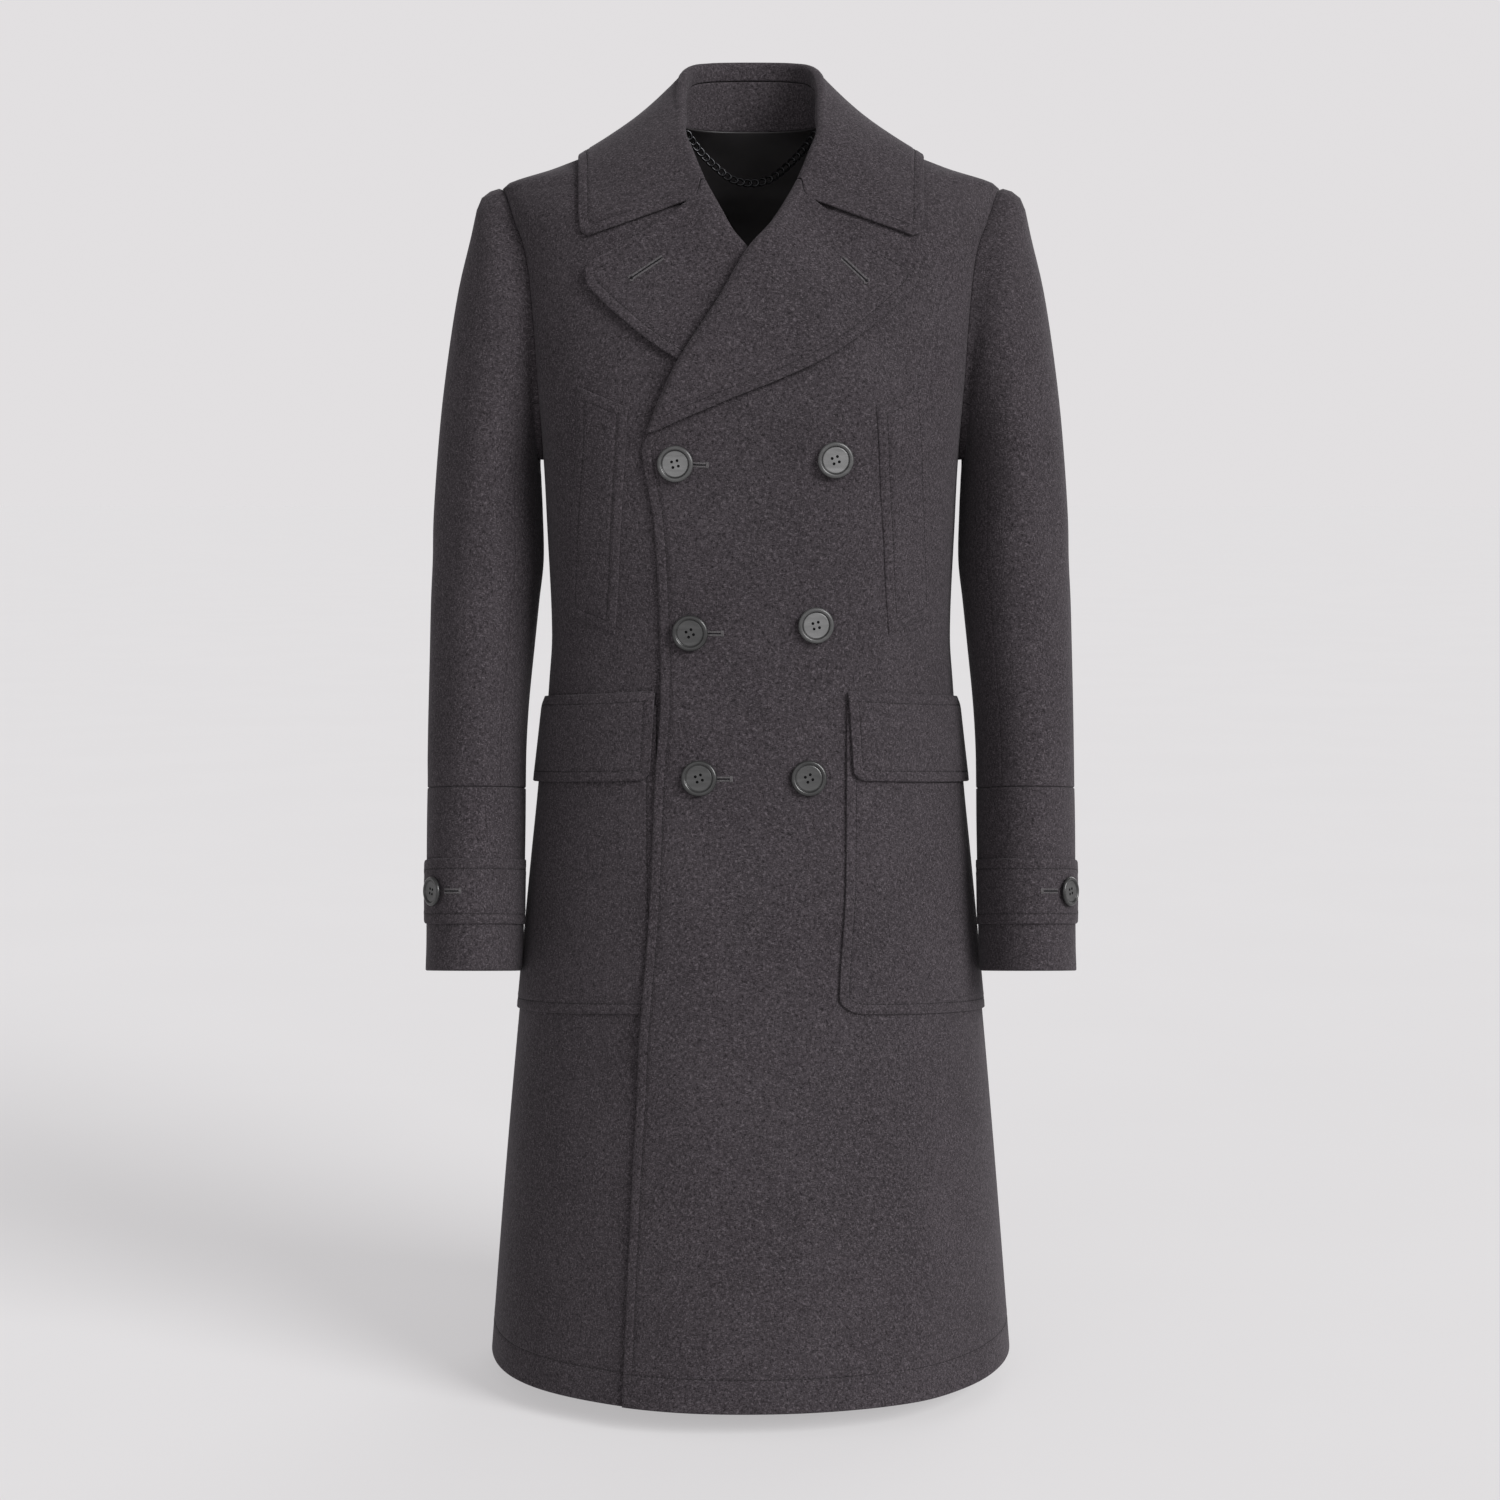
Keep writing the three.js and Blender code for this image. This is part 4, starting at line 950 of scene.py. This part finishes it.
def fall_line(row):
    neck, foot, middle, out, rise, edge = collar_section(row)
    share = stand_share(neck, foot)
    line = [mix(neck, foot, share) + rise * (FALL_GAP if share > 0 else 0)]
    for angle in (0, *ARC):
        c, s = cos_sin(angle)
        line.append(middle - out * ROLL * c + rise * ROLL * s)
    return line + fall_to(line[-1], edge)


def front_arc(x, level, toward):
    return [roll_arc(-1, x, level, toward, ROLL, angle) * MIRROR for angle in FRONT_ARC]


def fall_line_in_front(row):
    edge = np.array(row["edge"], float)
    arc = front_arc(opening(row["level"]), row["level"], edge[[0, 2]])
    return arc + fall_to(arc[-1], edge)


def collar_end():
    level = armhole_level(18)
    x, level = opening(level) + 0.35, level + 0.6
    corner = (NOTCH[0] + 0.7, NOTCH[1] + 1.1)
    toward = (LAPEL_EDGE[-1]["x"], LAPEL_EDGE[-1]["level"])
    line = front_arc(x, level, toward)
    for share in FALL:
        part = (share - FALL[0]) / (1 - FALL[0])
        at = (mix(corner[0], COLLAR_TIP[0], part), mix(corner[1], COLLAR_TIP[1], part))
        distance = math.hypot(at[0] - x, at[1] - level)
        line.append(on_front(-1, *at, settle(-1, ROLL, distance))[0] * MIRROR)
    return line


def both_sides(left):
    left = np.array(left)
    return np.concatenate([(left[1:] * MIRROR)[::-1], left])


def make_collar_fall():
    left = [fall_line(row) for row in COLLAR] + [fall_line_in_front(row) for row in COLLAR_FRONT]
    lines = both_sides(left + [collar_end()])
    across = knots_of(lines.transpose(1, 0, 2))
    along = knots_of(lines)

    def fall(u, v):
        rows = smooth_between(lines, along, v[:, 0] * along[-1])
        out = np.stack([
            smooth_between(row[:, None], across, share * across[-1])[:, 0] for row, share in zip(rows, u)
        ])
        past = ease((u * across[-1] - across[5]) / 8)[..., None]
        return mix(out, keep_off(out, COLLAR_CLEAR - 0.2), past)

    points = grid(fall, stops_of(along[-1], STITCHED, STITCHED), (*EDGE, *np.arange(4.8, 23, 1.6)), STITCHED)
    seams = inset(points, ["end", ("top", 0.35, 1), ("bottom", 0.35, 1)])
    cloth("collar_fall", points, seams, COLLAR_CLOTH)


def make_collar_stand():
    left = []
    for row in COLLAR[:7]:
        neck, foot, *_ = collar_section(row)
        top = max(stand_share(neck, foot), 0.12)
        left.append([mix(neck, foot, share * top) for share in (0, 0.5, 1)])
    lines = both_sides(left)
    along = knots_of(lines)

    def stand(u, v):
        rows = smooth_between(lines, along, v[:, 0] * along[-1])
        at = 2 * u[..., None]
        return np.where(at < 1, mix(rows[:, :1], rows[:, 1:2], at), mix(rows[:, 1:2], rows[:, 2:], at - 1))

    cloth("collar_stand", grid(stand, stops_of(along[-1]), step=4))


# Sleeves
sleeve_x, sleeve_wide, sleeve_y, sleeve_deep, sleeve_tilt = (
    curve(SLEEVE, "level", column) for column in ("x", "wide", "y", "deep", "tilt")
)


def sleeve_middle(turn, level):
    c, s = cos_sin(turn)
    back = -sleeve_deep(level) * s
    drop = -back * np.tan(np.radians(sleeve_tilt(level)))
    return np.stack([sleeve_x(level) + sleeve_wide(level) * c, sleeve_y(level) + back, level + drop], -1)


def on_sleeve(turn, level, lift=0.0):
    """A point and normal on the left sleeve below its head."""
    turn, level = np.broadcast_arrays(np.asarray(turn, float), np.asarray(level, float))
    around = sleeve_middle(turn + 0.5, level) - sleeve_middle(turn - 0.5, level)
    down = sleeve_middle(turn, level - 1) - sleeve_middle(turn, level + 1)
    normal = unit(np.cross(down, around))
    c, s = cos_sin(turn)
    out = np.stack([c, -s, 0 * turn], -1)
    normal = normal * np.sign((normal * out).sum(-1, keepdims=True))
    return sleeve_middle(turn, level) + normal * lift, normal


def armhole_point(angle):
    angle = np.asarray(angle, float) % 360
    level = ARMHOLE["middle"] + ARMHOLE["half"] * np.cos(np.radians(angle)) * 0.9999
    turn = np.where(angle > 180, armhole_turn(level, True), armhole_turn(level, False))
    return trunk_plain(turn, level)


def sleeve_start(angle, out):
    angle = np.asarray(angle, float) % 360
    point, normal = armhole_point(angle)
    tangent = unit(armhole_point(angle + 1)[0] - armhole_point(angle - 1)[0])
    away = unit(np.cross(normal, tangent))
    inward = (away * (point - ARMHOLE_CENTRE)).sum(-1, keepdims=True) < 0
    away = np.where(inward, -away, away)
    half = np.where(angle < 180, angle, 360 - angle) / 2
    slope = -0.4 * np.cos(np.radians(half)) ** 4
    leave = unit(np.stack([np.ones_like(slope), 0 * slope, slope], -1))
    wall = unit(np.cross(leave, tangent))
    shift = SLEEVE_GAP + 0.5 * CLOTH * np.abs((wall * away).sum(-1, keepdims=True))
    return point - away * shift + leave * out


def sleeve_head_ring(row, turn):
    c, s = cos_sin(turn)
    x = mix(row["under"][0], row["outer"][0], (1 + c) / 2) - row["bow"] * s * s
    z = mix(row["under"][1], row["outer"][1], (1 + c) / 2)
    return np.stack([x, 1 - row["deep"] * s, z], -1)


def sleeve_rings(turns):
    rings = [sleeve_start(turns, 0), sleeve_start(turns, 6)]
    rings += [sleeve_head_ring(row, turns) for row in SLEEVE_HEAD]
    rings += [sleeve_middle(turns, np.full_like(turns, level)) for level in SLEEVE_LEVELS]
    return np.array(rings)


def sleeve_turns(low, high):
    ends = np.degrees(np.array(EDGE) / 65)
    middle = np.linspace(low + 6, high - 6, int((high - low) / 5))
    return np.concatenate([low + ends, middle, high - ends[::-1]])


def make_sleeves():
    knots = knots_of(sleeve_rings(np.linspace(0, 360, 73)))
    stops = stops_of(knots[-1], step=6.5) * knots[-1]
    down = stops[:, None]
    calm = ease((down - 12) / 40) * ease((knots[-1] - down) / 25)
    head = 3.2 * ease(down / 5) * ease((34 - down) / 26)
    parts = (("top", -SLEEVE_SPLIT, SLEEVE_SPLIT), ("under", SLEEVE_SPLIT, 360 - SLEEVE_SPLIT))
    for part, low, high in parts:
        turns = sleeve_turns(low, high)
        around = (turns + 180) % 360 - 180
        points = smooth_between(sleeve_rings(turns), knots, stops)
        normals = grid_normals(points)
        normals = normals * np.sign((normals[..., 0] * cos_sin(turns)[0]).sum())
        for hand, side in HANDS:
            # The right sleeve's folds are moved a little, so that the two differ
            swing, level = (around, points[..., 2]) if side > 0 else (around + 7, points[..., 2] + 12)
            folds = fold_lift(SLEEVE_FOLDS, np.broadcast_to(swing, level.shape), level)
            lift = folds * calm + head * np.exp(-((around / 60) ** 2))
            moved = (points + normals * lift[..., None]) * (side, 1, 1)
            cloth(f"sleeve_{part}_{hand}", moved, centre=(225 * side, 0, 0))


def make_cuffs():
    strap_half = curve(STRAP, "turn", "half")
    length = CUFF_SEAM - CUFF_END
    levels = CUFF_SEAM - 0.15 - stops_of(length) * length
    strap_stops = np.concatenate([
        [0, 0.002, 0.006, 0.012], np.linspace(0.03, 0.9, 34),
        np.linspace(0.905, 0.985, 16), [0.99, 0.994, 0.997, 1],
    ])
    for hand, side in HANDS:
        arm = (237 * side, -40, 0)
        points = on_sleeve(np.linspace(0, 360, 97)[None, :], levels[:, None])[0] * (side, 1, 1)
        cloth(f"cuff_{hand}", points, loop=True, centre=arm)

        def strap(u, v, side=side):
            turn = mix(STRAP[0]["turn"], STRAP[-1]["turn"], v)
            level = STRAP_LEVEL + mix(1, -1, u) * strap_half(turn)
            return on_sleeve(turn, level, STRAP_LIFT - 0.5)[0] * (side, 1, 1)
        points = grid(strap, strap_stops, STITCHED[:-1], STITCHED[:-1], 5)
        seams = inset(points, [("start", 0, 0.97), ("end", 0, 0.97)])
        cloth(f"cuff_strap_{hand}", points, seams, STRAP_CLOTH, centre=arm)


# Pockets, flaps and welts
def patch_surface(side, front_rows, ends, corner, lift):
    edge = curve(front_rows, "level", "x")
    top, bottom = curve(ends, "turn", "top"), curve(ends, "turn", "bottom")
    middle = turn_at(edge(ends[2]["top"]), ends[2]["top"])

    def place(u, v):
        column = mix(middle, SIDE_TURN, u)
        past = np.clip((column - middle) * 2.45 / corner, 0, 1)
        low = bottom(column) + corner * (1 - np.sqrt(1 - (1 - past) ** 2))
        level = mix(top(column), low, v)
        turn = mix(turn_at(edge(level), level), SIDE_TURN, u)
        x = trunk_plain(turn, level)[0][..., 0]
        return on_trunk(side * turn, level, front_lift(side, x, level) + lift(v, turn))[0]
    return place


def make_patches():
    drop = curve(FLAP_DROP, "down", "lift")
    near_x, near_level, far_x, far_level = (
        curve(WELT, "down", column) for column in ("near_x", "near_level", "far_x", "far_level")
    )

    def pocket_lift(v, turn):
        return (CLOTH + POCKET_CLOTH) / 2 + 0.5 + 0 * v

    def flap_lift(v, turn):
        return CLOTH + 0.7 + drop(v) + 2.2 * v * (turn / QUARTER_TURN) ** 8

    for hand, side in HANDS:
        pocket = patch_surface(side, POCKET_FRONT, POCKET_ENDS, 13, pocket_lift)
        points = grid(pocket, down_stops(pocket, EDGE, STITCHED), STITCHED)
        cloth(f"pocket_{hand}", points, inset(points, ["start", "bottom"]), POCKET_CLOTH)
        flap = patch_surface(side, FLAP_FRONT, FLAP_ENDS, 9, flap_lift)

        def welt(u, v, side=side):
            x, level = mix(near_x(v), far_x(v), u), mix(near_level(v), far_level(v), u)
            from_side = np.minimum(u, 1 - u) * WELT_WIDTH
            from_end = np.minimum(v * WELT_LENGTH + 4, (1 - v) * WELT_LENGTH)
            pressed = 1 - ease(np.minimum(from_side, from_end) / 6)
            lift = (CLOTH + POCKET_CLOTH) / 2 + 0.1 - (0.95 if side > 0 else 0.6) * pressed
            return on_front(side, x, level, lift)[0]
        for name, surface, thickness in (("pocket_flap", flap, CLOTH), ("chest_welt", welt, POCKET_CLOTH)):
            points = grid(surface, down_stops(surface, STITCHED, STITCHED, 5), STITCHED, STITCHED, 5)
            cloth(f"{name}_{hand}", points, inset(points, ["start", "bottom", "end", "top"]), thickness)


def circle(sides):
    """Cosine and sine at even turns round a circle."""
    angles = [2 * math.pi * k / sides for k in range(sides)]
    return [(math.cos(angle), math.sin(angle)) for angle in angles]


def tube_faces(first, rings, sides, closed=False):
    """Faces of a tube whose rings of vertices follow each other from the first vertex."""
    faces = []
    for ring in range(rings if closed else rings - 1):
        a, b = first + ring * sides, first + (ring + 1) % rings * sides
        for k in range(sides):
            n = (k + 1) % sides
            faces.append((a + k, a + n, b + n, b + k))
    return faces


class Threads:
    """A mesh of threads: capsules with a few sides."""
    def __init__(self):
        self.vertices, self.faces = [], []

    def add(self, start, end, radius, out, sides=5, flat=1.0):
        along = unit(end - start)
        out = np.array(out, float)
        out = unit(out - along * np.dot(out, along))
        side = np.cross(along, out)
        first = len(self.vertices)
        rings = ((0, 0.45), (0.22, 0.9), (0.5, 1), (0.78, 0.9), (1, 0.45))
        for share, size in rings:
            for c, s in circle(sides):
                self.vertices.append(mix(start, end, share) + radius * size * (out * c * flat + side * s))
        self.faces += tube_faces(first, len(rings), sides)
        self.faces.append([first + k for k in reversed(range(sides))])
        self.faces.append([len(self.vertices) - sides + k for k in range(sides)])

    def piece(self, name, look):
        return piece(name, self.vertices, self.faces, look)


def stitch_along(threads, line, out):
    """Lays threads along a line with its normals."""
    length, fine = STITCH["length"], STITCH["fine"]
    both = resample(np.hstack([line, out]), fine)
    step, reach = int(round(STITCH["pitch"] / fine)), int(round(length / fine))
    for k in range(0, len(both) - reach, step):
        start, end = both[k, :3], both[k + reach, :3]
        if np.linalg.norm(end - start) < length * 1.5:
            threads.add(start, end, STITCH["radius"], both[k, 3:], sides=4)


def buttonhole(cords, slit_shades, place, start, end, bar=True, eyelet=0.0):
    """A corded buttonhole from start to end, both x and level on a cloth that place puts in space."""
    start, end = np.array(start, float), np.array(end, float)
    length = np.linalg.norm(end - start)
    along = (end - start) / length
    across = np.array([-along[1], along[0]])

    def lay(group, first, last, radius, raised, **shape):
        (near, out), (far, _) = place(*first), place(*last)
        group.add(near + out * raised[0], far + out * raised[1], radius, out, **shape)

    count = int(length / CORD_PITCH)
    for k in range(count + 1):
        middle = mix(start, end, k / count)
        widen = HOLE_HALF
        if eyelet:
            widen += max(eyelet - abs(k / count * length - eyelet), 0) * 0.7
        for off in (-across, across):
            near, far = middle + off * (widen - CORD_IN), middle + off * (widen + CORD_OUT)
            lay(cords, near, far, CORD_RADIUS, (0.1, 0.05))
    if bar:
        for k in range(4):
            middle = end + along * (0.3 + 0.55 * k)
            lay(cords, middle - across * BAR_HALF, middle + across * BAR_HALF, 0.42, (0.25, 0.25), sides=6)
    # Near-black strips along the slit and a disc in the eyelet: painted shade where the cut opens
    for k in range(8):
        near, far = mix(start, end, k / 8), mix(start, end, (k + 1) / 8)
        lay(slit_shades, near, far, 0.75, (-0.1, -0.1), sides=6, flat=0.6)
    if eyelet:
        near, far = start + along * eyelet, start + along * (eyelet + 0.6)
        lay(slit_shades, near, far, eyelet * 0.9, (0, 0), sides=10, flat=0.35)


def seat_on_front(side, lift):
    def place(x, level):
        return on_front(side, x, level, lift)
    return place


def seat_on_strap(side):
    """Places on a strap by the distance from its button, back round the arm and up."""
    def place(along, across):
        turn, lift = CUFF_BUTTON_TURN + along / STRAP_DEGREE, STRAP_LIFT - 0.5 + STRAP_CLOTH / 2
        return [part * (side, 1, 1) for part in on_sleeve(turn, STRAP_LEVEL + across, lift)]
    return place


# Buttons
def round_solid(profile, sides):
    vertices, rings = [], []
    for radius, height in profile:
        if radius == 0:
            rings.append([len(vertices)] * sides)
            vertices.append((0, 0, height))
        else:
            rings.append(list(range(len(vertices), len(vertices) + sides)))
            vertices += [(radius * c, radius * s, height) for c, s in circle(sides)]
    faces = []
    for low, high in zip(rings, rings[1:]):
        for k in range(sides):
            n = (k + 1) % sides
            faces.append(list(dict.fromkeys([low[k], low[n], high[n], high[k]])))
    return vertices, faces


def drilled(vertices, faces, holes, radius, top):
    """Cuts four round holes with a boolean, and returns the new mesh data."""
    body = piece("button_blank", vertices, faces, HORN)
    cutters = []
    for x, y in holes:
        post, walls = round_solid(((0, -1), (radius, -1), (radius, top), (0, top)), 20)
        cutter = piece("button_cutter", np.array(post) + (x, y, 0), walls, HORN)
        cut = body.modifiers.new("hole", "BOOLEAN")
        cut.operation = "DIFFERENCE"
        cut.solver = "EXACT"
        cut.object = cutter
        cutters.append(cutter)
    shaped = body.evaluated_get(bpy.context.evaluated_depsgraph_get()).to_mesh()
    points = np.array([vertex.co[:] for vertex in shaped.vertices]) / MM
    cut_faces = [list(face.vertices) for face in shaped.polygons]
    for made in (body, *cutters):
        mesh = made.data
        bpy.data.objects.remove(made)
        bpy.data.meshes.remove(mesh)
    return points, cut_faces


def basis_at(normal, turn):
    """Rows that carry local x, y, z into space, with y as far up as it can be."""
    side = unit(np.cross((0, 0, 1), normal))
    up = np.cross(normal, side)
    c, s = math.cos(turn), math.sin(turn)
    return np.array([side * c + up * s, up * c - side * s, normal])


def button_places():
    """Name, seat and turn of each button of a radius."""
    fronts = []
    for k, row in enumerate(BUTTONS):
        seat = on_front(1, row["x"], row["level"], CLOTH / 2 + row["gap"])
        fronts.append((f"front_button_{k + 1}", seat, 0.35 + 0.12 * (k % 3 - 1)))
    left = on_sleeve(CUFF_BUTTON_TURN, STRAP_LEVEL, STRAP_LIFT + STRAP_CLOTH / 2 - 0.3)
    right = tuple(part * MIRROR for part in left)
    cuffs = [("cuff_button_left", left, 0.1), ("cuff_button_right", right, -0.1)]
    return (BUTTON_RADIUS, fronts), (CUFF_BUTTON_RADIUS, cuffs)


def paint_button_sheen_and_shade(button, catches_light, vertices, faces, radius):
    """Paints a button's tones: a lighter face, and on the buttons that catch the light a lighter rim too, as
    painted reflection; the darkest tone stays in the groove as painted shade.
    """
    button.data.materials.append(HORN_FACE_PAINTED_SHEEN if catches_light else HORN_FACE_FAINT_SHEEN)
    button.data.materials.append(HORN_RIM_PAINTED_SHEEN if catches_light else HORN)
    for face, corners in zip(button.data.polygons, faces):
        x, y, height = vertices[corners].mean(0)
        share = math.hypot(x, y) / radius
        if height > 2.7 and share < 0.705:
            face.material_index = 1
        elif share > 0.8:
            face.material_index = 2


def make_buttons(sewing_in_shade):
    for radius, places in button_places():
        spacing = 0.155 * radius
        holes = [(x * spacing, y * spacing) for x, y in ((1, 1), (-1, 1), (-1, -1), (1, -1))]
        vertices, faces = round_solid([(share * radius, height) for share, height in BUTTON_PROFILE], 56)
        vertices, faces = drilled(vertices, faces, holes, HOLE_RADIUS, 6)
        for name, (at, normal), turn in places:
            rows = basis_at(normal, turn)
            button = piece(f"{name}_turned", vertices @ rows + at, faces, HORN)
            button.data.set_sharp_from_angle(angle=math.radians(35))
            paint_button_sheen_and_shade(button, name in BUTTONS_WITH_PAINTED_SHEEN, vertices, faces, radius)
            hand_over(button, "horn_button", name)
            # Threads through the holes and a shank under the button, in the near-black shade material: real
            # thread, made black to paint the shade in the holes
            for x, y in holes:
                low, high = (np.array([x, y, height]) @ rows + at for height in (0.3, 2.5))
                sewing_in_shade.add(low, high, 0.9, rows[1], sides=6)
            sewing_in_shade.add(at - 1.2 * normal, at + 0.4 * normal, 2.4, rows[1], sides=10)


# Hanger chain of twisted oval links
def make_chain():
    half = np.array(CHAIN, float)
    ends = np.vstack([(half[1:] * MIRROR)[::-1], half])
    run = np.concatenate([[0], np.cumsum(np.linalg.norm(np.diff(ends, axis=0), axis=1))])
    line = resample(smooth_between(ends[:, None], run, np.linspace(0, run[-1], 400))[:, 0], 0.5)
    vertices, faces = [], []
    link_sides, wire_sides = 20, 8
    for k in range(CHAIN_LINKS):
        at = int((k + 0.5) / CHAIN_LINKS * (len(line) - 1))
        ahead = unit(line[min(at + 4, len(line) - 1)] - line[max(at - 4, 0)])
        thick = unit(np.array([0, 1, 0]) - ahead * ahead[1])
        tall = np.cross(ahead, thick)
        faces += tube_faces(len(vertices), link_sides, wire_sides, closed=True)
        for c, s in circle(link_sides):
            out = ahead * LINK_LENGTH * c + tall * LINK_HEIGHT * s + thick * (0.5 * s - 0.95 * c)
            go = unit(tall * LINK_HEIGHT * c - ahead * LINK_LENGTH * s + thick * (0.5 * c + 0.95 * s))
            away = unit(out - go * np.dot(out, go))
            beside = np.cross(go, away)
            vertices += [line[at] + out + LINK_WIRE * (away * a + beside * b) for a, b in circle(wire_sides)]
    hand_over(piece("hanger_chain_links", vertices, faces, STEEL), "dark_steel", "hanger_chain")


# Pale floor and sky, soft distant lamps and the camera
def make_floor():
    corners = [(-60000, -9000, FLOOR), (60000, -9000, FLOOR), (60000, 90000, FLOOR), (-60000, 90000, FLOOR)]
    paper = plain_look("paper", (0.3, 0.298, 0.3), 1.0, specular=0.0, scale=3, contrast=0.01)
    shader = paper.node_tree.nodes["Principled BSDF"]
    set_inputs(shader, {"Emission Color": (*SKY, 1), "Emission Strength": 0.58})
    piece("floor", corners, [(0, 1, 2, 3)], paper)


def make_sky():
    world = bpy.data.worlds.new("sky")
    bpy.context.scene.world = world
    world.use_nodes = True
    tree = world.node_tree
    direction = tree.nodes.new("ShaderNodeTexCoord")
    apart = tree.nodes.new("ShaderNodeSeparateXYZ")
    tree.links.new(direction.outputs["Generated"], apart.inputs["Vector"])
    tones = ((0.3, SKY), (0.5, (0.25, 0.245, 0.25)))
    ground = tree.nodes["Background"]
    tree.links.new(ramp(tree, apart.outputs["Z"], *tones), ground.inputs["Color"])
    ground.inputs["Strength"].default_value = 1.0


def make_lamps():
    for row in LAMPS:
        lamp = bpy.data.lights.new(row["name"], "SUN")
        lamp.energy = row["power"]
        lamp.angle = math.radians(row["wide"])
        made = bpy.data.objects.new(row["name"], lamp)
        made.location = Vector(row["place"]) * MM
        made.rotation_euler = Vector(row["place"]).to_track_quat("Z", "Y").to_euler()
        bpy.context.scene.collection.objects.link(made)


def make_camera():
    camera = bpy.data.cameras.new("camera")
    camera.lens = CAMERA_LENS
    camera.sensor_width = 36
    camera.clip_start, camera.clip_end = 0.05, 60
    eye = bpy.data.objects.new("camera", camera)
    eye.location = Vector(CAMERA_PLACE) * MM
    eye.rotation_euler = (math.radians(CAMERA_TILT), 0, 0)
    bpy.context.scene.collection.objects.link(eye)
    bpy.context.scene.camera = eye
    bpy.context.scene.view_settings.view_transform = "Standard"


def make_holes(cords, slit_shades):
    for start, end in FRONT_HOLES:
        buttonhole(cords, slit_shades, seat_on_front(1, CLOTH / 2), start, end)
    for side, start, end in LAPEL_HOLES:
        seat = seat_on_front(side, LAYER + LAPEL_LIFT[side] + CLOTH / 2)
        buttonhole(cords, slit_shades, seat, start, end, bar=False, eyelet=EYELET)
    for side in (1, -1):
        buttonhole(cords, slit_shades, seat_on_strap(side), *STRAP_HOLE)


for make in (
    make_floor, make_sky, make_lamps, make_camera,
    make_body, make_lapels, make_collar_fall, make_collar_stand, make_sleeves, make_cuffs, make_patches,
):
    make()
threads, cords, slit_shades, sewing_in_shade = Threads(), Threads(), Threads(), Threads()
make_buttons(sewing_in_shade)
make_chain()
for line, out in STITCHES:
    stitch_along(threads, line, out)
make_holes(cords, slit_shades)

for name, group, look, slot in (
    ("topstitching", threads, THREAD_AND_PAINTED_SHADE, "wool"),
    ("buttonhole_cords", cords, CORD, "wool"),
    ("buttonhole_slit_shades", slit_shades, SHADE, "lining"),
    ("button_threads_painted_shade", sewing_in_shade, SHADE, "lining"),
):
    hand_over(group.piece(name, look), slot)
